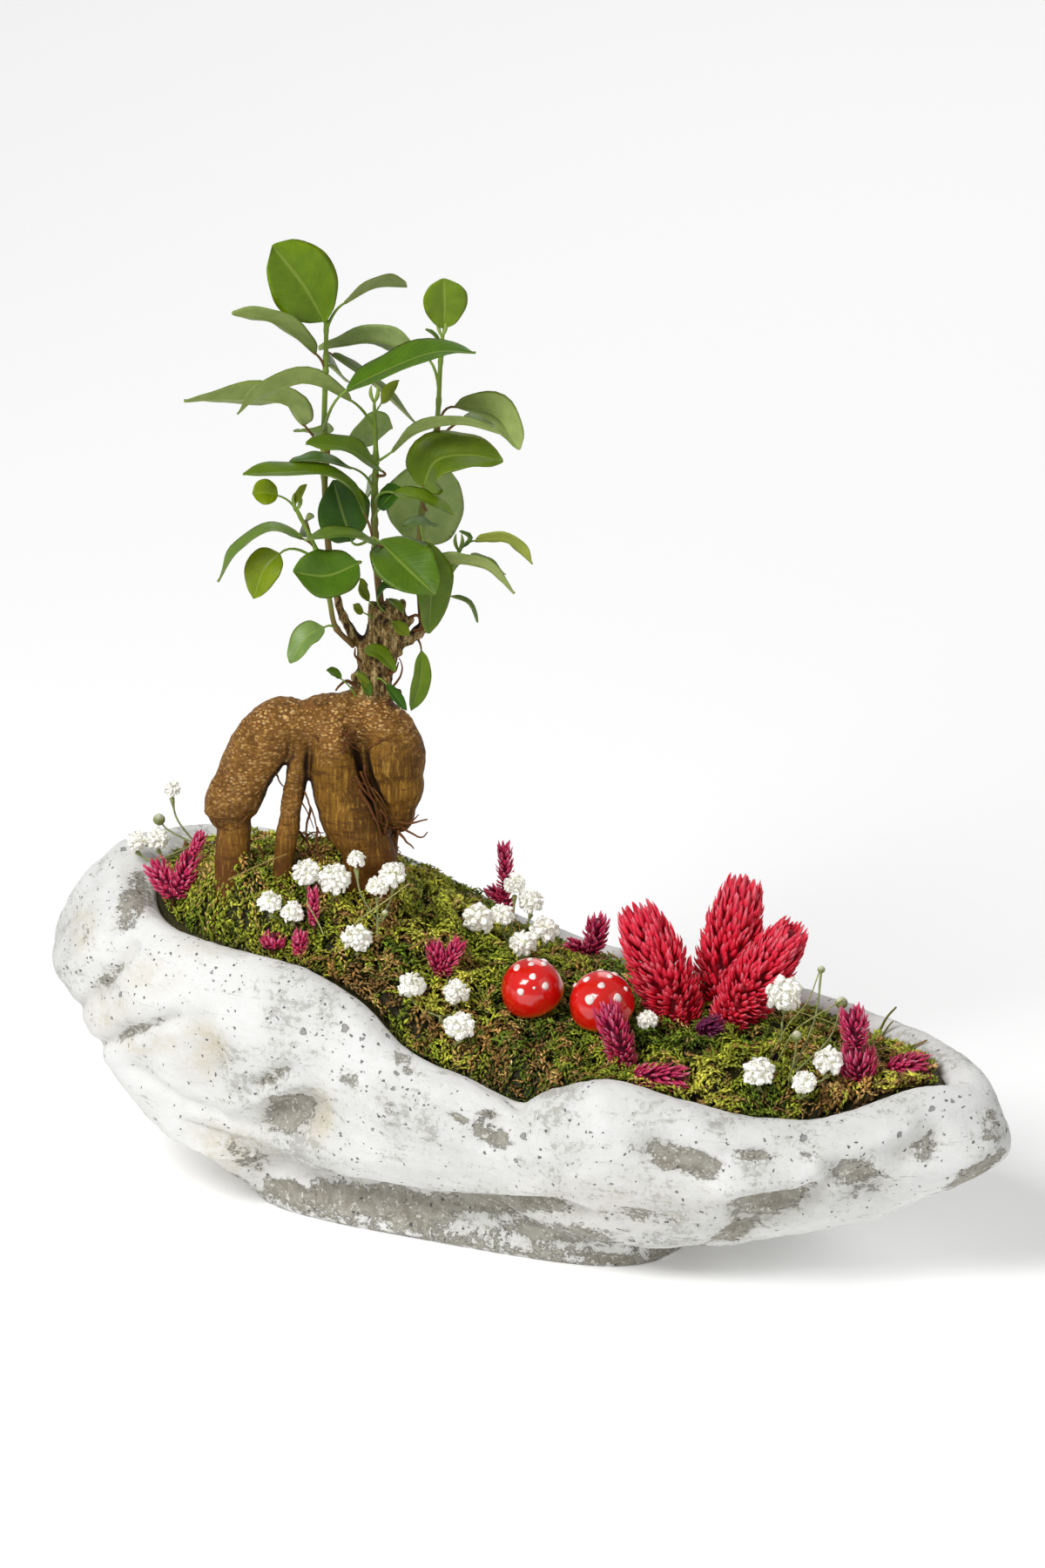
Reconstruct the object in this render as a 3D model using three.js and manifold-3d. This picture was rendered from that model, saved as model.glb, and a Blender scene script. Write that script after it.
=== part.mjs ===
// Ficus ginseng bonsai planted in a cast boat-shaped planter with moss and dried flowers.
// Millimetres, +Z up. X runs along the planter towards its pointed tip, Y to the back,
// and the origin is the middle of the flat foot, on the table.
import * as THREE from 'three';
import { mergeVertices } from 'three/addons/utils/BufferGeometryUtils.js';
import Module from 'manifold-3d';

const wasm = await Module();
wasm.setup();

// Driving dimensions
const gap = 0.35;              // air between two pieces that touch
const plantTurn = THREE.MathUtils.degToRad(25); // the planting was arranged to be seen from this side
const aroundSteps = 50;        // facets round the planter, the soil and the moss
const footHalfLength = 80;
const footHalfDepth = 45.5;
const footCentreX = 2;
const footFlare = 18;          // how far the foot's left end spreads on its way up
const leftDropOutside = 12;    // the left end's rim is rounded down this much more at its outside
const leftDropTop = 8;         // and this much more nearer its top
const footHeight = 17;         // the foot's wall, up to the ledge
const wallFloor = 19;          // thickness of the planter's bottom over its ledge
const mossDepth = 13;          // the moss lies this deep over the soil
const mossBelowRim = 4;
const mossBump = 2.4;
const bladeThickness = 0.65;   // from a leaf's rib to each face
const stalkRadius = 0.55;      // leaf stalks
const stemRadius = 0.5;        // the thin green flower stems
const calyxRadius = 1.1;       // the stem's end under a flower
const edgeAir = 0.5;           // air between the moss or soil and the planter's wall
const soilAir = 0.7;           // air under the soil
const stemHoleAir = 0.56;      // air round a flower stem in the moss
const headAir = 0.84;          // air between a stem's end and the flower it carries
const sprigRadius = 0.9;       // stalk of a dried sprig
const spikeRadius = 1.4;       // stalk of a spike
const dotHeight = 1.3;         // raised dots of a mushroom cap
const hollowHeight = 1.6;      // how far a cap's underside rises where the stalk meets it

// Planter stations, from the tip round the back to the left end and along the front.
// Each is [x, y] of the outside, [x, y] of the rim's inner edge, height of the crest, of the ledge.
const stations = [
  [[198, 0], [174, 0], 75, 9], [[178, 25], [167, 10], 76, 10], [[150, 43], [144, 26], 75, 12],
  [[112, 57], [108, 41], 75, 15], [[70, 65], [68, 49], 74, 20], [[25, 67], [25, 51], 75, 23],
  [[-15, 66], [-14, 49], 82, 23], [[-55, 62], [-52, 44], 98, 22], [[-95, 55], [-88, 37], 103, 21],
  [[-134, 40], [-112, 23], 107, 20], [[-163, 3], [-120, 2], 109, 20], [[-143, -36], [-117, -18], 105, 20],
  [[-110, -52], [-103, -35], 100, 21], [[-77, -60], [-74, -44], 98, 22], [[-46, -64], [-44, -48], 97, 23],
  [[-24, -66], [-23, -50], 90, 23], [[-4, -67], [-4, -51], 75, 23], [[20, -67], [20, -52], 69, 23],
  [[39, -66], [39, -51], 63, 22], [[53, -68], [53, -52], 71, 19], [[74, -68], [73, -51], 77, 16],
  [[102, -62], [98, -46.5], 72, 14], [[128, -54], [122, -39], 67, 12], [[152, -42], [144, -27.5], 68, 11],
  [[177, -25], [166, -11], 76, 10],
];
// Dents pressed in the outside wall: [x, side of y, z, depth, half length, half height]
const dents = [
  [-118, -1, 62, 3.2, 20, 6], [-104, -1, 40, 3, 22, 5], [-84, -1, 52, 3.6, 17, 15],
  [-60, -1, 36, 3.4, 18, 11], [10, -1, 56, 2, 12, 8], [86, -1, 50, 3.4, 18, 9],
  [120, -1, 36, 3, 20, 7], [148, -1, 48, 2.4, 14, 6], [-70, 1, 60, 3.4, 22, 12],
  [30, 1, 48, 3, 20, 10], [105, 1, 45, 3, 18, 9],
];
// Height of the moss along the middle and along the edges, as [x, z]
const mossCrownLine = [[-140, 101], [-120, 104], [-90, 110], [-54, 113], [-20, 100],
  [0, 88], [40, 79], [100, 76], [170, 70]];
const mossEdgeLine = [[-140, 100], [-125, 98], [-50, 93], [0, 74], [40, 68], [100, 66], [170, 68]];
const mossHalfWidth = 52;
// The moss gathered round the roots: middle, half sizes across and away, and height
const mounds = [
  { across: -58, away: 10, length: 34, depth: 17, height: 10 },
  { across: -94, away: 2, length: 15, depth: 17, height: 13 },
];
const bowlMiddle = [10, 0];
const bowlFloor = 38;          // height of the hollow's bottom in the middle

// The front view that the planting was measured in: its tilt, mm in a step, and the steps where
// the planting's origin shows
const viewTilt = THREE.MathUtils.degToRad(22);
const viewStep = 0.3;
const viewZero = [557, 1375];

// The planting, in its own turned frame: [across, away, up]
// Tuber and trunk limbs, each a path with its radii
const limbs = [
  { path: [[-45, 12, 174], [-54, 12, 172.6], [-62, 12, 170.6], [-70, 12, 171], [-77.5, 12, 163.6],
    [-84, 12, 153], [-88.2, 11, 144], [-89.6, 10, 138.6], [-87, 9, 133.4], [-86.5, 7, 122], [-86, 6, 92]],
  radii: [8, 9, 9.3, 9.9, 9.9, 9.4, 8.6, 7.5, 5.5, 5, 4.6], sides: 8 },
  { path: [[-62.6, 8, 168], [-65, 6, 154], [-67.4, 4, 138], [-69.4, 2, 122], [-70.4, 1, 98]],
    radii: [4.2, 3.8, 3.6, 3.6, 3.4], sides: 6 },
  { path: [[-47, 10, 174], [-51, 8, 164], [-49.2, 7, 150], [-44.2, 5.4, 137.4], [-40.8, 4.6, 128],
    [-37.6, 4, 121], [-36.5, 3, 96]], radii: [8, 8.8, 11, 11, 9.2, 7, 5], sides: 8 },
  { path: [[-44, 4, 128], [-44.8, 2, 118], [-45, 1, 94]], radii: [4, 3.2, 2.6], sides: 6 },
  { path: [[-38, 10, 174], [-33.2, 8, 169], [-31.2, 7, 160], [-30.2, 6.6, 150], [-29.4, 6, 142],
    [-29, 5.6, 136.6]], radii: [7, 9.8, 10.4, 8.8, 5.8, 2.8], sides: 8 },
  { path: [[-52, 18, 170], [-52, 27, 158], [-50, 33, 136], [-49, 38, 112], [-50, 40, 94]],
    radii: [8, 8.4, 6.8, 5, 3.8], sides: 8 },
  { path: [[-40, 16, 170], [-36, 23, 156], [-34, 28, 134], [-35, 30, 110], [-35, 31, 90]],
    radii: [7, 7.2, 5.4, 4, 3.2], sides: 8 },
  { path: [[-41, 12, 172], [-39.4, 12, 183], [-38, 12, 195], [-35.8, 12, 206], [-34.6, 12, 214]],
    radii: [9.4, 6.9, 6.2, 6, 5.4], sides: 8 },
  { path: [[-37.6, 12, 198], [-31, 12, 200], [-25, 13, 203], [-21.6, 14, 207]],
    radii: [3.2, 2.8, 2.3, 1.9], sides: 6 },
  { path: [[-39.5, 12, 196], [-44.5, 12, 203], [-48.6, 13, 210], [-51, 14, 217]],
    radii: [2.8, 2.3, 2.1, 1.9], sides: 6 },
];
const rootsBelow = 115;         // a limb that ends lower than this stands in the moss
const tuberShoulder = { centre: [-45, 13, 171.4], size: [15, 10.5, 8.6] };

// Shoots: the stem, and leaves as [stem point], rib from the stalk to the tip as it shows in front,
// width, how far the blade opens to the front (below zero where its underside shows),
// where along the rib it is widest, and how blunt its ends are
const shoots = {
  shoot_left_tall: {
    stem: [[-50, 14, 213], [-53.4, 14, 232], [-55, 14, 256], [-55.2, 14, 282], [-54.6, 14, 304],
      [-54.4, 14, 320]],
    radii: [1.3, 1.3, 1.2, 1.1, 1, 0.8],
    leaves: [
      [[-54.4, 14, 317], [[373, 371, 13], [350, 331, 11], [314, 285, 8]], 25.5, 0.97, 0.56, 0.52],
      [[-54.4, 14, 316], [[396, 350, 17], [432, 331, 28], [468, 330, 36]], 15, -0.26, 0.5, 0.75],
      [[-54.8, 14, 301], [[364, 408, 12], [320, 374, 4], [268, 362, -2]], 16.5, -0.34, 0.5, 0.68],
      [[-54.6, 14, 306], [[382, 408, 22], [430, 442, 32], [478, 486, 40]], 14, 0.22, 0.5, 0.75],
      [[-55.2, 14, 272], [[351, 490, 10], [331, 466, 6], [270, 459, 0], [213, 463, -5]],
        20, -0.42, 0.45, 0.7],
      [[-55.3, 12.6, 280], [[399, 450, -8], [440, 430, -12], [500, 408, -16], [547, 408, -18]],
        19, 0.46, 0.36, 0.7],
      [[-55, 15, 296], [[379, 420, 24], [386, 426, 34], [392, 432, 44]], 15, 0.2, 0.5, 0.72],
      [[-54.6, 15, 262], [[374, 502, 24], [360, 497, 34], [346, 494, 42]], 14, 0.4, 0.5, 0.72],
    ],
  },
  shoot_centre: {
    stem: [[-35.5, 12, 211], [-37.4, 12, 232], [-38, 12, 250], [-37.5, 12, 270], [-38, 12, 290]],
    radii: [1.5, 1.4, 1.2, 1.1, 0.6],
    leaves: [
      [[-37.8, 12, 280], [[404, 461, 8], [352, 441, -8], [300, 456, -18], [274, 478, -22]],
        16, -0.4, 0.45, 0.75],
      [[-38, 12, 285], [[438, 465, 8], [447, 453, 6], [459, 438, 4]], 5.5, 0.8, 0.5, 0.8],
      [[-37.6, 12, 270], [[398, 512, 17], [425, 498, 24], [451, 492, 30]], 15, -0.75, 0.6, 0.6],
      [[-37.6, 12, 268], [[450, 520, 6], [480, 497, 2], [530, 488, -2], [578, 500, -4]],
        13, -0.22, 0.5, 0.75],
      [[-37.6, 12, 263], [[440, 542, 4], [400, 518, -4], [352, 511, -11]], 15, 0.42, 0.5, 0.7],
      [[-37.8, 12, 257], [[405, 538, 8], [370, 530, 2], [333, 532, -3]], 12, 0.24, 0.5, 0.75],
      [[-38, 12, 236], [[421, 594, 4], [404, 561, -2], [372, 545, -7], [320, 545, -12], [280, 546, -15]],
        15, 0.33, 0.62, 0.7],
      [[-38, 12, 234], [[434, 626, -4], [400, 615, -8], [350, 621, -14]], 12, 0.3, 0.5, 0.72],
      [[-38, 12, 241], [[404, 622, 8], [393, 588, 6], [383, 552, 5]], 20, 0.95, 0.5, 0.55],
      [[-38, 12, 252], [[452, 566, 4], [486, 575, -1], [521, 592, -3]], 13, 0.42, 0.45, 0.7],
      [[-38, 12, 246], [[436, 585, 8], [448, 572, 7], [461, 560, 6]], 10, 0.7, 0.5, 0.7],
      [[-37.8, 12, 236], [[436, 622, 1], [464, 650, -8], [500, 684, -18]], 23, 0.86, 0.48, 0.55],
      [[-37.6, 12, 230], [[468, 620, 26], [490, 582, 32], [511, 536, 38]], 31, -0.95, 0.52, 0.5],
      [[-37.5, 13, 254], [[428, 562, 26], [424, 567, 36], [420, 572, 48]], 16, 0.3, 0.5, 0.72],
    ],
  },
  shoot_right_tall: {
    stem: [[-21.4, 14.4, 204], [-22.2, 17, 214], [-22.8, 18, 235], [-20.6, 18, 256], [-16.5, 18, 280],
      [-15.4, 18, 300], [-14.7, 18, 312]],
    radii: [1.3, 1.3, 1.2, 1.1, 1, 0.9, 0.7],
    leaves: [
      [[-14.8, 18, 309], [[510, 379, 18], [511, 351, 17], [510, 322, 16]], 16, 0.97, 0.6, 0.46],
      [[-14.8, 18, 303], [[506, 396, 20], [499, 386, 21], [489, 379, 22]], 2.6, 0.5, 0.5, 0.8],
      [[-15.6, 18, 288], [[484, 407, 22], [430, 393, 28], [366, 402, 32]], 19, -0.42, 0.45, 0.7],
      [[-16.2, 18, 274], [[522, 468, 9], [570, 478, 0], [597, 518, -6]], 16.5, -0.66, 0.52, 0.62],
      [[-20.2, 18, 248], [[486, 560, 13], [502, 530, 9], [540, 524, 6], [578, 531, 4]],
        22, 0.78, 0.33, 0.62],
      [[-21.4, 18, 244], [[503, 604, 7], [484, 602, 0], [463, 607, -8]], 9, 0.35, 0.5, 0.72],
      [[-17, 19, 272], [[534, 484, 28], [560, 487, 38], [584, 496, 46]], 14, 0.3, 0.5, 0.72],
      [[-22.6, 17, 244], [[487, 622, 4], [495, 670, -3], [492, 728, -9]], 16.5, 0.84, 0.46, 0.6],
    ],
  },
  shoot_right_low: {
    stem: [[-25.5, 13.2, 201], [-19, 11, 212], [-13.5, 10, 224], [-9, 10, 236]],
    radii: [1.1, 1, 0.9, 0.6],
    leaves: [
      [[-9.6, 10, 234.4], [[530, 630, 8], [539, 618, 4], [528, 610, 0]], 3, 0.5, 0.5, 0.8],
      [[-9.4, 10, 234], [[546, 621, 8], [584, 623, 5], [612, 648, 2]], 11, -0.36, 0.45, 0.75],
      [[-14, 10, 221], [[502, 647, 11], [528, 646, 7], [560, 653, 4], [591, 682, 1]],
        12, -0.4, 0.34, 0.7],
      [[-17, 10.7, 216], [[519, 684, 12], [538, 692, 13], [549, 715, 15]], 4, 0.4, 0.5, 0.75],
      [[-12, 10, 227], [[540, 643, 24], [560, 649, 32], [580, 659, 38]], 12, 0.3, 0.5, 0.72],
    ],
  },
  shoot_left_low: {
    stem: [[-45.3, 10.2, 200.9], [-51.4, 5, 210], [-53.6, 2, 222], [-57.6, -2, 240],
      [-64.5, -5, 257]],
    radii: [1.1, 1, 1, 0.9, 0.6],
    leaves: [
      [[-51, 5.4, 209], [[373, 720, 2], [353, 731, -1], [334, 762, -4]], 10.5, 0.82, 0.5, 0.6],
      [[-56, -1, 234], [[412, 648, -8], [376, 662, -14], [338, 658, -20]], 19.5, 0.92, 0.5, 0.5],
      [[-58, -2, 241], [[348, 619, -4], [312, 609, -6], [272, 635, -9], [251, 669, -10]],
        12, 0.33, 0.45, 0.75],
      [[-56.5, -1, 236], [[322, 636, -3], [305, 653, -5], [292, 688, -6]], 13.5, 0.95, 0.45, 0.66],
      [[-63.5, -5, 254], [[320, 570, -5], [306, 567, -6], [291, 568, -7]], 9.4, 0.95, 0.52, 0.48],
      [[-64, -5, 256], [[338, 581, -4.8], [346, 569, -5], [353, 557, -5]], 5, 0.6, 0.5, 0.8],
      [[-60, -3.4, 247], [[352, 598, 4], [350, 602, 14], [352, 606, 26]], 9, 0.3, 0.5, 0.72],
      [[-54, 1.4, 224], [[366, 650, 10], [362, 656, 18], [358, 662, 26]], 12, 0.35, 0.5, 0.72],
    ],
  },
};
// Young leaves that grow straight from the trunk
const trunkLeaves = [
  [[-37, 11, 203], [[418, 745, 3], [436, 751, 0], [454, 771, -3]], 7.6, 0.7, 0.5, 0.66],
  [[-23.8, 13, 203], [[484, 747, 9], [483, 780, 6], [472, 816, 3]], 7.6, 0.9, 0.52, 0.55],
  [[-38, 8, 189], [[444, 785, 1], [454, 799, -1], [467, 816, -2]], 4.8, 0.8, 0.5, 0.75],
  [[-41, 9.5, 184], [[424, 790, 1], [418, 782, 0], [409, 774, -2]], 4.2, 0.8, 0.5, 0.7],
  [[-44, 10, 180], [[392, 779, 3], [384, 773, 3], [375, 769, 3]], 4.6, 0.7, 0.5, 0.7],
];

// White double flowers, grouped where they touch: [across, away, up, radius]
const whiteHeads = {
  flowers_left_end: [[-113.4, 42, 116.3, 4.2], [-120.6, 43, 115, 3.9]],
  flower_left_high: [[-108.3, 40, 135.6, 3.1]],
  flowers_left_front: [[-74.1, -14, 115.2, 4.5], [-66.4, -15, 112, 4.3]],
  flowers_trunk_front: [[-61.6, -5, 122.6, 5.1], [-52, -8, 121.6, 6]],
  flower_trunk_side: [[-44.4, -10, 129.8, 3.4]],
  flowers_trunk_right: [[-31.8, -9, 123.8, 5.1], [-37.2, -10.4, 119.6, 4]],
  flower_front_left: [[-44.1, -20, 104.2, 5.7]],
  flowers_middle: [[-2.4, 8, 100.3, 5.9], [6, 10, 100.8, 4.4]],
  flower_back_a: [[10.2, 23, 107, 4.2]],
  flower_back_b: [[15.8, 18, 102.4, 4.6]],
  flowers_middle_right: [[13.2, -2, 95, 4.9], [20.5, 0.5, 99, 5.4]],
  flower_front_a: [[-25.2, -33, 92, 5.1]],
  flower_front_b: [[-9.9, -33, 89.6, 4.9]],
  flower_front_c: [[-9, -48, 83.2, 5.7]],
  flower_shaded: [[55.8, -46, 84.6, 3.9]],
  flower_right_high: [[102.7, -53.4, 97.4, 6.9]],
  flower_right_front: [[93.9, -80, 79.2, 6]],
  flower_right_low: [[109.5, -86, 78, 4.5]],
  flower_right_middle: [[117.8, -77.5, 82.4, 5.5]],
};
// Green flower stems: where they root, where they fork, the flowers and the small buds they carry
const sprays = {
  stems_left: { root: [-99, 30], fork: [-100, 34, 118],
    carries: ['flower_left_high', 'flowers_left_end'], buds: [[-112.8, 42, 123.4, 2.2]] },
  stems_trunk_front: { root: [-57, -1], fork: [-56, -1, 109.6],
    carries: ['flowers_trunk_front', 'flowers_left_front'], buds: [] },
  stems_trunk_right: { root: [-37, -15], fork: [-37, -14.6, 109],
    carries: ['flowers_trunk_right', 'flower_trunk_side'], buds: [[-34.5, -17.4, 112.6, 1.3]] },
  stem_front_left: { root: [-43, -19], fork: [-43.4, -19.4, 97], carries: ['flower_front_left'],
    buds: [] },
  stems_middle: { root: [8, 12], fork: [8, 11, 90.5],
    carries: ['flowers_middle', 'flower_back_a', 'flower_back_b', 'flowers_middle_right'], buds: [] },
  stems_front: { root: [-15.5, -40], fork: [-15.5, -39, 83.5],
    carries: ['flower_front_a', 'flower_front_b', 'flower_front_c'], buds: [] },
  stem_shaded: { root: [57.5, -45], fork: [57, -45.4, 79], carries: ['flower_shaded'], buds: [] },
  stem_right_high: { root: [102, -53], fork: [102.2, -53.2, 87],
    carries: ['flower_right_high'], buds: [] },
  stems_right: { root: [104, -74], fork: [104.6, -74.6, 75.8],
    carries: ['flower_right_front', 'flower_right_low', 'flower_right_middle'],
    buds: [[115.5, -62, 110, 1.4], [122.4, -64, 98.4, 2.3], [107, -72, 89.3, 2]] },
};

// Dried magenta and pink-red heads: branches of [from], [to], radius; the first one roots in the moss
const magentaSprigs = {
  sprig_left: [[[-108, 17, 106], [-116, 22, 117.3], 4.4], [[-106, 16, 106], [-101, 17, 122], 3.8],
    [[-101, 17, 121], [-97, 19, 129], 2.2]],
  sprig_behind_flower: [[[-59.1, -14, 108], [-59.3, -14, 122], 2.1]],
  sprig_round: [[[-73.2, -14.8, 100], [-73, -14.8, 105], 4.2]],
  sprig_front_left: [[[-64.2, -19, 98], [-63.3, -18, 107.8], 2.7]],
  sprig_centre: [[[-15.5, -18.5, 91], [-18, -17, 103.3], 3.2], [[-14, -18.5, 91], [-8, -16, 103.6], 3]],
  sprig_back: [[[7.5, 31, 88], [6.6, 31, 120.4], 2.9], [[6.6, 31, 97], [0.8, 29, 104], 2.4]],
  sprig_back_right: [[[37.8, 25.2, 82], [39.3, 24, 95.5], 4.2], [[36, 24, 81], [28, 19, 87], 2.8]],
  sprig_front_right: [[[48.3, -62.2, 75], [41, -58.6, 97], 5.4]],
  sprig_lying: [[[52, -74, 75.6], [71, -76, 75.2], 4.6]],
  sprig_right: [[[127.8, -72, 74], [127.6, -70, 101.4], 5.2]],
  sprig_right_end: [[[139.5, -66, 75], [155, -62, 74.6], 4.7]],
  sprig_purple: [[[74, -45.4, 80], [82.6, -46.6, 84.6], 3.8]],
};
const lyingSprigs = ['sprig_lying', 'sprig_right_end']; // these rest in a hollow of the moss
const spikeHeads = {
  spike_left: { from: [67.6, -31, 78.5], to: [50.4, -26, 121], radius: 9.8 },
  spike_middle: { from: [79.4, -19.6, 78.5], to: [90, -13, 127], radius: 9.8 },
  spike_right: { from: [87.2, -35.4, 79], to: [110.6, -37, 115], radius: 8.8 },
};
const mushrooms = {
  mushroom_left: { foot: [20.6, -26, 77], under: [17.6, -29.2, 85.8], radius: 10.8, height: 15.2,
    stalk: 5 },
  mushroom_right: { foot: [43, -35.6, 75], under: [41, -39, 84.8], radius: 11.2, height: 15,
    stalk: 4.6 },
};
// Raised dots of a cap: [share of the way from crown to brim, share of a turn, radius]
const brimAngle = 1.45;        // from the cap's axis, in radians
const capDots = [[0.1, 0.4, 1.6], [0.42, 0.1, 1.4], [0.45, 0.42, 1.4], [0.44, 0.76, 1.5],
  [0.78, 0.02, 1.3], [0.8, 0.26, 1.4], [0.78, 0.58, 1.3], [0.8, 0.8, 1.4]];

// Vectors and random draws
const vector = (list) => new THREE.Vector3(...list);
const mix = THREE.MathUtils.lerp;

function seededRandom(seed) {
  let state = seed;
  return () => {
    state = (state * 16807) % 2147483647;
    return state / 2147483647;
  };
}

// Value at x of a line of [x, value] pairs
function along(line, x) {
  if (x <= line[0][0]) return line[0][1];
  for (let i = 1; i < line.length; i += 1) {
    const [x0, v0] = line[i - 1];
    const [x1, v1] = line[i];
    if (x <= x1) return mix(v0, v1, (x - x0) / (x1 - x0));
  }
  return line.at(-1)[1];
}

// A closed body from rings of points, each ring joined to the next, ended by fans to two poles.
// Where flipped(k) is true the quad k is split along its other diagonal.
function skin(rings, startPole, endPole, flipped = () => false) {
  const count = rings[0].length;
  const points = [...rings.flat(), startPole, endPole];
  const start = points.length - 2;
  const end = points.length - 1;
  const faces = [];
  for (let i = 0; i < rings.length - 1; i += 1) {
    for (let k = 0; k < count; k += 1) {
      const next = (k + 1) % count;
      const a = i * count + k;
      const b = i * count + next;
      const c = a + count;
      const d = b + count;
      if (flipped(k)) faces.push([a, b, c], [b, d, c]);
      else faces.push([a, b, d], [a, d, c]);
    }
  }
  const last = (rings.length - 1) * count;
  for (let k = 0; k < count; k += 1) {
    const next = (k + 1) % count;
    faces.push([start, next, k], [end, last + k, last + next]);
  }
  return bodyOf(points, faces);
}

// BufferGeometry with the faces turned outwards
function bodyOf(points, faces) {
  let volume = 0;
  const cross = new THREE.Vector3();
  for (const [a, b, c] of faces) volume += points[a].dot(cross.crossVectors(points[b], points[c]));
  const outward = volume < 0 ? faces.map(([a, b, c]) => [a, c, b]) : faces;
  const geometry = new THREE.BufferGeometry().setFromPoints(points);
  geometry.setIndex(outward.flat());
  return geometry;
}

function toSolid(geometry) {
  const plain = geometry.clone();
  plain.deleteAttribute('normal');
  plain.deleteAttribute('uv');
  const merged = mergeVertices(plain, 1e-4);
  const index = merged.index.array;
  const kept = [];
  for (let i = 0; i < index.length; i += 3) {
    const [a, b, c] = index.slice(i, i + 3);
    if (a !== b && b !== c && a !== c) kept.push(a, b, c);
  }
  const vertProperties = new Float32Array(merged.attributes.position.array);
  return new wasm.Manifold(new wasm.Mesh({ numProp: 3, vertProperties, triVerts: new Uint32Array(kept) }));
}

function toGeometry(solid) {
  const { vertProperties, triVerts } = solid.getMesh();
  const geometry = new THREE.BufferGeometry();
  geometry.setAttribute('position', new THREE.BufferAttribute(vertProperties, 3));
  geometry.setIndex(new THREE.BufferAttribute(triVerts, 1));
  return geometry;
}

function joined(geometries) {
  return geometries.map(toSolid).reduce((whole, piece) => whole.add(piece));
}

// The same shape in the planter's frame, for cutting what isn't turned
function turned(geometry) {
  return geometry.clone().rotateZ(plantTurn);
}

// A tube along a smooth path, with a radius at each path point. more widens it all over,
// cap is how far its ends swell past the path, as a share of the end's radius.
function sweep(path, radii, sides, { more = 0, stepsPerSpan = 1, cap = 0.4 } = {}) {
  const curve = new THREE.CatmullRomCurve3(path.map(vector), false, 'centripetal');
  const spans = path.length - 1;
  const steps = spans * stepsPerSpan;
  const rings = [];
  let side = null;
  for (let i = 0; i <= steps; i += 1) {
    const t = i / steps;
    const centre = curve.getPoint(t);
    const tangent = curve.getTangent(t);
    side = side ?? new THREE.Vector3(0.31, 0.9, 0.29).cross(tangent);
    side = side.clone().addScaledVector(tangent, -side.dot(tangent)).normalize();
    const other = new THREE.Vector3().crossVectors(tangent, side);
    const span = Math.min(Math.floor(t * spans), spans - 1);
    const radius = mix(radii[span], radii[span + 1], t * spans - span) + more;
    rings.push(Array.from({ length: sides }, (_, k) => {
      const angle = (2 * Math.PI * k) / sides;
      return centre.clone().addScaledVector(side, radius * Math.cos(angle))
        .addScaledVector(other, radius * Math.sin(angle));
    }));
  }
  const startPole = curve.getPoint(0).addScaledVector(curve.getTangent(0), -radii[0] * cap - more);
  const endPole = curve.getPoint(1).addScaledVector(curve.getTangent(1), radii.at(-1) * cap + more);
  return skin(rings, startPole, endPole);
}

// A place of the planting from where it shows in the front view: steps right and down, and how far away
function seen([right, down, away]) {
  const rise = (viewZero[1] - down) * viewStep;
  return new THREE.Vector3((right - viewZero[0]) * viewStep, away,
    (rise - away * Math.sin(viewTilt)) / Math.cos(viewTilt));
}

// The leaf's rib from its stalk to its tip, and the blade's sideways and upward ways along it
function leafFrame([, seenRib, , open]) {
  const curve = new THREE.CatmullRomCurve3(seenRib.map(seen), false, 'centripetal');
  const front = new THREE.Vector3(0, -Math.cos(viewTilt), Math.sin(viewTilt));
  const chord = curve.getPoint(1).sub(curve.getPoint(0));
  const turned = new THREE.Vector3().crossVectors(chord, front);
  const sign = turned.z + turned.x * 0.2 < 0 ? -1 : 1;
  const at = (t) => {
    const way = curve.getTangent(t);
    const towards = front.clone().addScaledVector(way, -front.dot(way)).normalize();
    const upwards = new THREE.Vector3().crossVectors(way, towards).multiplyScalar(sign);
    const face = towards.multiplyScalar(open).addScaledVector(upwards, Math.sqrt(1 - open * open));
    return { centre: curve.getPoint(t), side: new THREE.Vector3().crossVectors(way, face), face };
  };
  return at;
}

function leafBody(leaf) {
  const at = leafFrame(leaf);
  const [stemPoint, , width, , widest, bluntness] = leaf;
  const stem = vector(stemPoint);
  const rows = width > 13.5 ? [0.14, 0.38, 0.64, 0.88] : [0.2, 0.5, 0.82];
  const skew = Math.log(0.5) / Math.log(widest);
  const outline = (t) => (width / 2) * Math.sin(Math.PI * t ** skew) ** bluntness;
  const ring = (t, half, thick, fold) => {
    const { centre, side, face } = at(t);
    return [
      centre.clone().addScaledVector(side, -half).addScaledVector(face, fold),
      centre.clone().addScaledVector(face, thick),
      centre.clone().addScaledVector(side, half).addScaledVector(face, fold),
      centre.clone().addScaledVector(face, -thick)];
  };
  const base = at(0);
  const stalkWay = base.centre.clone().sub(stem).normalize();
  const stalkSide = base.side.clone().addScaledVector(stalkWay, -base.side.dot(stalkWay)).normalize();
  const stalkFace = new THREE.Vector3().crossVectors(stalkSide, stalkWay);
  const foot = [[stalkSide, -1], [stalkFace, 1], [stalkSide, 1], [stalkFace, -1]]
    .map(([way, sign]) => stem.clone().addScaledVector(way, sign * stalkRadius * 1.2));
  const rings = [foot, ring(0, stalkRadius, stalkRadius, 0),
    ...rows.map((t) => ring(t, outline(t), bladeThickness * (1 - 0.3 * t), 0.22 * outline(t)))];
  return skin(rings, stem, at(1).centre, (k) => k > 1);
}

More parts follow.
